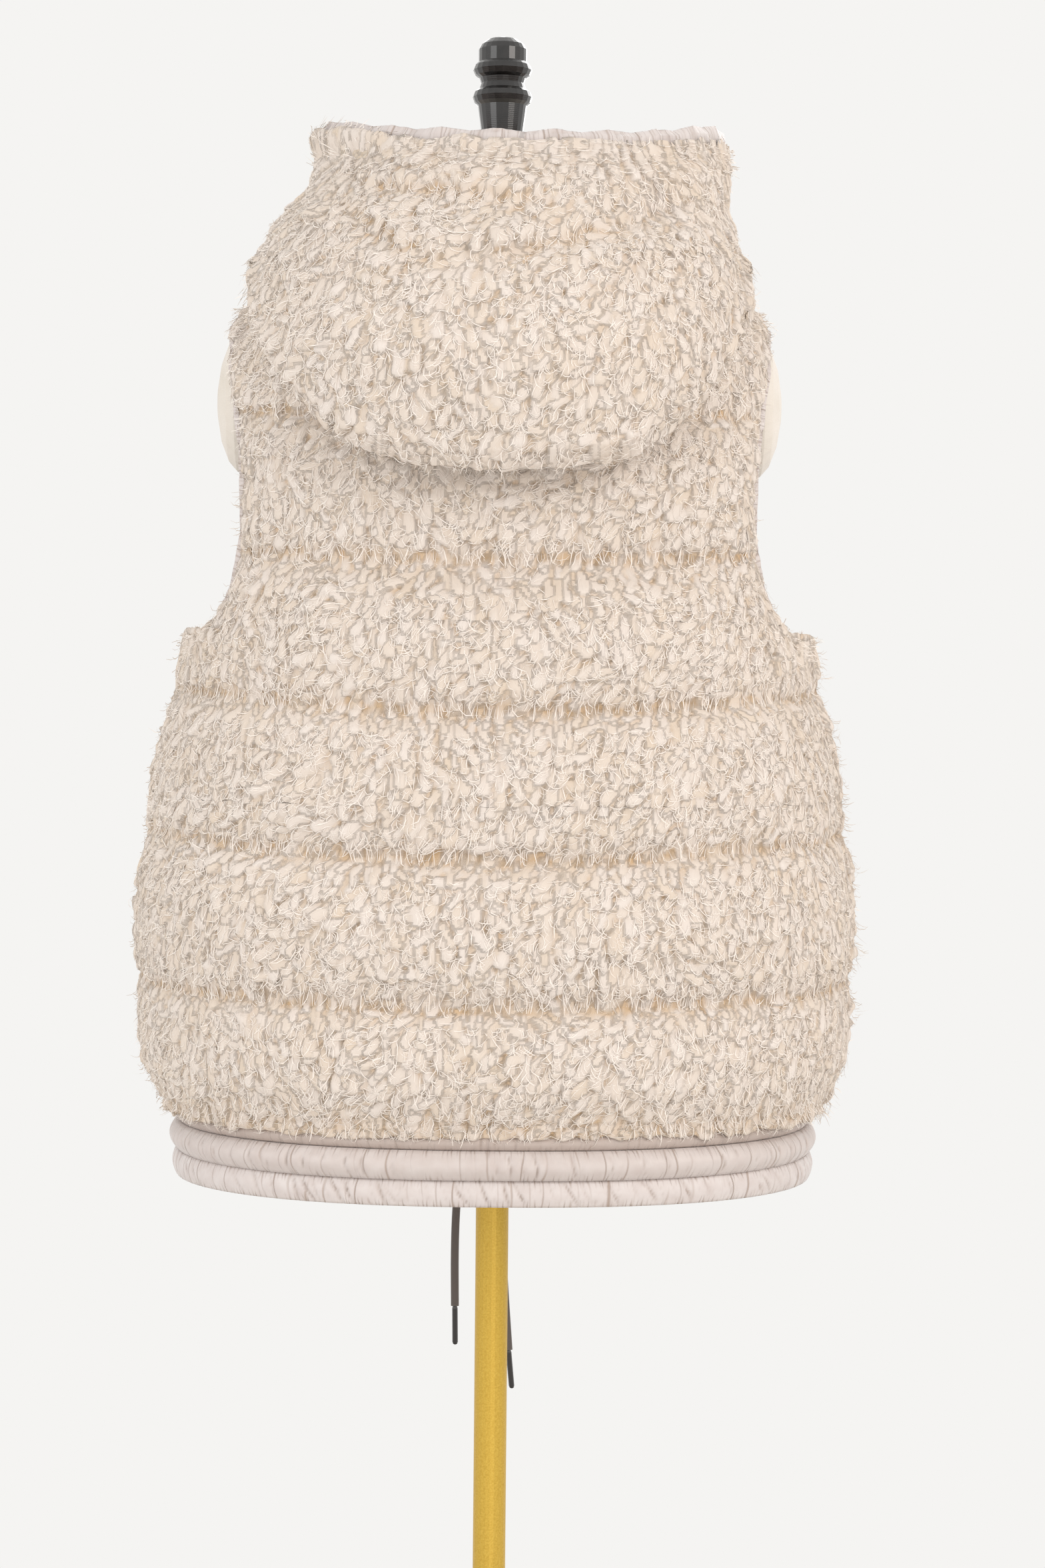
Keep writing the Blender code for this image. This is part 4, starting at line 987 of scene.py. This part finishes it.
def addCasing(row, material, chance):
    name, top, bottom, halfWidth, back, front, thick, spacing, depth, slant, paintedShade = row
    columns, outerRows = satin["columns"], satin["outerRows"]
    start = pi / 2 + np.arcsin(satin["zipHalf"] / (front - thick))
    fineAngles = np.linspace(start, start + 2 * pi - 2 * (start - pi / 2), satin["ringSteps"])
    reach = ringReach(fineAngles, halfWidth, back, front)
    x, y = reach * np.cos(fineAngles), reach * np.sin(fineAngles)
    run = np.concatenate([[0], np.cumsum(np.hypot(np.diff(x), np.diff(y)))])
    bm = bmesh.new()
    rows = outerRows + 3   # the outer face, the top, the inner face and the bottom
    bmesh.ops.create_grid(bm, x_segments=columns, y_segments=rows, size=0.5)
    bm.verts.ensure_lookup_table()
    grid = np.array([v.co[:2] for v in bm.verts]) + 0.5
    around = grid[:, 0] * run[-1]
    level = np.round(grid[:, 1] * rows).astype(int)
    outer = level <= outerRows
    up = np.clip(level / outerRows, 0, 1)
    angle = np.interp(around, run, fineAngles)
    base = ringReach(angle, halfWidth, back, front)
    height = bottom + (top - bottom) * up
    roll = thick * satin["rounding"] * (1 - np.sin(pi * (0.12 + 0.76 * up)))
    bulge = np.sin(pi * (0.10 + 0.80 * up))
    sink = puckers(around, up, run[-1], spacing, depth, slant, chance) * bulge
    fineSpacing, fineShare = satin["fineGathers"]
    sink += puckers(around, up, run[-1], fineSpacing, depth * fineShare, slant * 0.5, chance)
    # painted shade: the colour darkens in the puckers' valleys, and over a whole casing by its painted
    # shade, most on the strip under the fleece
    creases = np.where(outer, np.clip(sink / depth, paintedShade, 1), paintedShade)
    sinks = roll + np.clip(sink, 0, thick * 0.45)
    sinks[~outer] = thick
    height[~outer] = np.where(level[~outer] == outerRows + 1, top, bottom)
    radius = base - sinks
    fold, stitched = bm.verts.layers.float.new("creaseAndShade"), bm.verts.layers.float.new("stitched")
    nearSeam = np.clip(1 - np.minimum(up, 1 - up) / 0.35, 0, 1)
    for v, r, a, z, creaseAndShade, near in zip(bm.verts, radius, angle, height, creases, nearSeam):
        v.co = (r * cos(a), r * sin(a), z)
        v[fold], v[stitched] = creaseAndShade, near
    # the last row lies on the first, which closes the casing
    low = [v for v, k in zip(bm.verts, level) if k == 0]
    last = [v for v, k in zip(bm.verts, level) if k == rows]
    for a, b in zip(sorted(low, key=lambda v: v.index), sorted(last, key=lambda v: v.index)):
        b.co = a.co
    bmesh.ops.remove_doubles(bm, verts=bm.verts, dist=0.000001)
    bmesh.ops.holes_fill(bm, edges=[e for e in bm.edges if e.is_boundary], sides=0)
    bmesh.ops.recalc_face_normals(bm, faces=bm.faces)
    bm.verts.index_update()
    points = np.array([v.co for v in bm.verts])
    turned = (np.arctan2(points[:, 1], points[:, 0]) - start) % (2 * pi) + start
    mesh = meshFrom(name + "_satin", bm)
    mapCloth(mesh, np.interp(turned, fineAngles, run) + top * 7, points[:, 2])
    piece = placePiece(name + "_satin", mesh, material, replaced=[name])


def addCasings():
    chance = np.random.default_rng(satin["seed"])
    look = satinMaterial("gathered polyester satin")
    for row in satin["casings"]:
        addCasing(row, look, chance)
    return look


def gatherEdge(name, turns, tuck, cut, sewnTo, material, chance):
    # a finer copy of a satin edge, drawn in by gathers that cross it and tucked into the fleece below
    bm = nodeCopy(name)
    if tuck:
        hood = BVHTree.FromBMesh(nodeCopy("hood"))
        for v in bm.verts:
            if hood.find_nearest(v.co, 0.0020)[0] is not None:
                v.co.z -= tuck
    bmesh.ops.subdivide_edges(bm, edges=bm.edges, cuts=satin["edgeCuts"], use_grid_fill=True)
    bm.normal_update()
    points = np.array([v.co for v in bm.verts])
    middle = (points.min(axis=0) + points.max(axis=0)) / 2
    a, b = points[:, turns[0]] - middle[turns[0]], points[:, turns[1]] - middle[turns[1]]
    radius = np.hypot(a, b).mean()
    around = (np.arctan2(a, b) + pi) * radius
    middles, long, depth = np.full(len(points), 0.5), 2 * pi * radius, satin["edgeDepth"]
    wide, fine = satin["edgeGathers"]
    sink = puckers(around, middles, long, wide, depth, 0.0, chance)
    sink += puckers(around, middles, long, fine, depth / 2, 0.0, chance)
    fold, stitched = bm.verts.layers.float.new("creaseAndShade"), bm.verts.layers.float.new("stitched")
    normals = [v.normal.copy() for v in bm.verts]
    # each pucker sinks the cloth, and its valley is darkened by painted shade
    for v, n, d in zip(bm.verts, normals, np.clip(sink, 0, depth * 1.3)):
        v.co -= n * d
        v[fold], v[stitched] = min(d / depth, 1.0) * 0.7, 0.6
    mesh = meshFrom(name + "_satin", bm)
    mapCloth(mesh, around, np.hypot(a, b))
    piece = placePiece(name + "_satin", mesh, material, replaced=[name])


satinLook = addCasings()
edgeChance = np.random.default_rng(satin["seed"] + 1)
for row in satin["edges"]:
    gatherEdge(*row, satinLook, edgeChance)
print("satin casings are gathered")


# Zip: tape, teeth, slider and pull

zipper = {
    "tape": "#D6C8B8", "tapeShade": "#C3B3A2", "metal": "#B79A5E",
    "teeth": (0.652, 1.2095), "pitch": 0.00125,
    "tooth": (0.0015, 0.0007, 0.0005),   # half of a tooth across, in depth and along the zip
}


def tapeMaterial():
    # Woven polyester tape: fine ribs along the zip
    material, tree = newMaterial("woven zip tape")
    place = addNode(tree, "ShaderNodeTexCoord").outputs["Object"]
    ribs = addNode(tree, "ShaderNodeTexWave", {"Vector": place},
                   {"Scale": 300.0, "Distortion": 0.4}, bands_direction="X")   # a rib in 1 mm
    colour = setRamp(addNode(tree, "ShaderNodeValToRGB", {"Fac": ribs.outputs["Fac"]}),
                     [(0.0, zipper["tapeShade"]), (1.0, zipper["tape"])])
    bump = addNode(tree, "ShaderNodeBump", {"Height": ribs.outputs["Fac"]},
                   {"Strength": 0.4, "Distance": 0.0004})
    finishMaterial(tree, addNode(tree, "ShaderNodeBsdfPrincipled", {
        "Base Color": colour.outputs["Color"], "Normal": bump.outputs[0]}, {"Roughness": 0.8}))
    return material


def zipMetalMaterial():
    # Brass-plated zinc: cast, tumbled, satin
    material, tree = newMaterial("brass plated zinc")
    place = addNode(tree, "ShaderNodeTexCoord").outputs["Object"]
    rub = addNode(tree, "ShaderNodeTexNoise", {"Vector": place},
                  {"Scale": 1200.0, "Detail": 3.0})   # rub marks of 0.8 mm
    rough = addNode(tree, "ShaderNodeMapRange", {"Value": rub.outputs["Fac"]},
                    {"To Min": 0.25, "To Max": 0.42})
    finishMaterial(tree, addNode(tree, "ShaderNodeBsdfPrincipled", {"Roughness": rough.outputs[0]},
                                 {"Base Color": linear(zipper["metal"]), "Metallic": 1.0}))
    return material


def addTeeth(material):
    # two rows of teeth that lock in turn down the middle of the tape
    tree = BVHTree.FromBMesh(nodeCopy("zip_tape"))
    heights = np.arange(*zipper["teeth"], 0.001)
    line = [tree.ray_cast(Vector((0, 0.4, z)), Vector((0, -1, 0)))[0] for z in heights]
    line = np.array([p for p in line if p is not None])
    run = np.concatenate([[0], np.cumsum(np.linalg.norm(np.diff(line, axis=0), axis=1))])
    at = np.arange(0, run[-1], zipper["pitch"])
    place = np.stack([np.interp(at, run, line[:, k]) for k in range(3)], axis=1)
    ahead = np.gradient(place, axis=0)
    ahead /= np.linalg.norm(ahead, axis=1)[:, None]
    out = np.cross(ahead, (1.0, 0, 0))
    out *= np.sign(out[:, 1:2])
    wide, deep, long = zipper["tooth"]
    place[:, 0] = np.where(np.arange(len(at)) % 2, 1, -1) * wide * 0.6
    corners = [(i, j, k) for i in (-1, 1) for j in (-1, 1) for k in (-1, 1)]
    verts = np.stack([place + np.array([i * wide, 0, 0]) + out * (deep * j) + ahead * (long * k)
                      for i, j, k in corners], axis=1)
    faces = [[0, 1, 3, 2], [4, 6, 7, 5], [0, 4, 5, 1], [2, 3, 7, 6], [0, 2, 6, 4], [1, 5, 7, 3]]
    mesh = joinCopies("zip_teeth", verts, faces, 8)
    mesh.polygons.foreach_set("use_smooth", [False] * len(mesh.polygons))
    placePiece("zip_teeth", mesh, material)


paintNode("zip_tape", tapeMaterial())
zipMetal = zipMetalMaterial()
addTeeth(zipMetal)
for name in ("zip_slider", "zip_pull"):
    paintNode(name, zipMetal)
print("zip is finished")


# Dress form and stand

stand = {
    "linen": ("#D4CBBF", "#DFD7CE"),   # darker and lighter colour of each material
    "wood": ("#0F0D0C", "#1D1A19"),
    "gold": ("#C09A36", "#D2AF4B"),
}


def linenMaterial():
    # Bleached linen stretched over foam: matt, fine even threads
    material, tree = newMaterial("stretched linen")
    place = addNode(tree, "ShaderNodeTexCoord").outputs["Object"]
    weaving = {"Scale": 420.0, "Distortion": 1.2, "Detail": 2.0}   # a thread in 0.75 mm
    threads = [addNode(tree, "ShaderNodeTexWave", {"Vector": place}, weaving, bands_direction=axis)
               for axis in "XZ"]
    weave = addNode(tree, "ShaderNodeMath", {0: threads[0].outputs["Fac"], 1: threads[1].outputs["Fac"]},
                    operation="MULTIPLY")
    soft = addNode(tree, "ShaderNodeTexNoise", {"Vector": place},
                   {"Scale": 35.0, "Detail": 4.0})   # clouds of 29 mm
    colour = setRamp(addNode(tree, "ShaderNodeValToRGB", {"Fac": soft.outputs["Fac"]}),
                     [(0.3, stand["linen"][0]), (0.7, stand["linen"][1])])
    bump = addNode(tree, "ShaderNodeBump", {"Height": weave.outputs[0]},
                   {"Strength": 0.25, "Distance": 0.0004})
    finishMaterial(tree, addNode(tree, "ShaderNodeBsdfPrincipled", {
        "Base Color": colour.outputs["Color"], "Normal": bump.outputs[0]},
        {"Roughness": 0.85, "Sheen Weight": 0.2}))
    return material


def woodMaterial():
    # Turned hardwood under black lacquer: satin gloss, faint turning marks
    material, tree = newMaterial("black lacquered wood")
    place = addNode(tree, "ShaderNodeTexCoord").outputs["Object"]
    turning = {"Scale": 260.0, "Distortion": 1.5, "Detail": 2.0}   # a mark in 1.2 mm
    marks = addNode(tree, "ShaderNodeTexWave", {"Vector": place}, turning, bands_direction="Z")
    dust = addNode(tree, "ShaderNodeTexNoise", {"Vector": place},
                   {"Scale": 180.0, "Detail": 5.0})   # specks of 6 mm and finer
    colour = setRamp(addNode(tree, "ShaderNodeValToRGB", {"Fac": dust.outputs["Fac"]}),
                     [(0.35, stand["wood"][0]), (0.75, stand["wood"][1])])
    rough = addNode(tree, "ShaderNodeMapRange", {"Value": dust.outputs["Fac"]},
                    {"To Min": 0.16, "To Max": 0.27})
    bump = addNode(tree, "ShaderNodeBump", {"Height": marks.outputs["Fac"]},
                   {"Strength": 0.06, "Distance": 0.0005})
    finishMaterial(tree, addNode(tree, "ShaderNodeBsdfPrincipled", {
        "Base Color": colour.outputs["Color"], "Roughness": rough.outputs[0], "Normal": bump.outputs[0]},
        {"Coat Weight": 0.6, "Coat Roughness": 0.1}))
    return material


def goldMaterial():
    # Steel tube under gold lacquer: satin, with a fine flake
    material, tree = newMaterial("gold lacquered steel")
    # the flake is drawn at 1.1 mm, coarser than it is, so that it shows
    place = addNode(tree, "ShaderNodeTexCoord").outputs["Object"]
    flake = addNode(tree, "ShaderNodeTexNoise", {"Vector": place}, {"Scale": 900.0, "Detail": 2.0})
    colour = setRamp(addNode(tree, "ShaderNodeValToRGB", {"Fac": flake.outputs["Fac"]}),
                     [(0.3, stand["gold"][0]), (0.7, stand["gold"][1])])
    rough = addNode(tree, "ShaderNodeMapRange", {"Value": flake.outputs["Fac"]},
                    {"To Min": 0.38, "To Max": 0.5})
    finishMaterial(tree, addNode(tree, "ShaderNodeBsdfPrincipled", {
        "Base Color": colour.outputs["Color"], "Roughness": rough.outputs[0]}, {"Metallic": 0.45}))
    return material


linenLook, goldLook = linenMaterial(), goldMaterial()
for name in ("form_torso", "arm_plate_right", "arm_plate_left"):
    paintNode(name, linenLook)
paintNode("finial", woodMaterial())
for name in ("pole", "foot"):
    paintNode(name, goldLook)
for name in ("form_torso", "arm_plate_right", "arm_plate_left", "finial", "pole"):
    polygons = nodes[name].data.polygons
    polygons.foreach_set("use_smooth", [True] * len(polygons))
print("form and stand are finished")
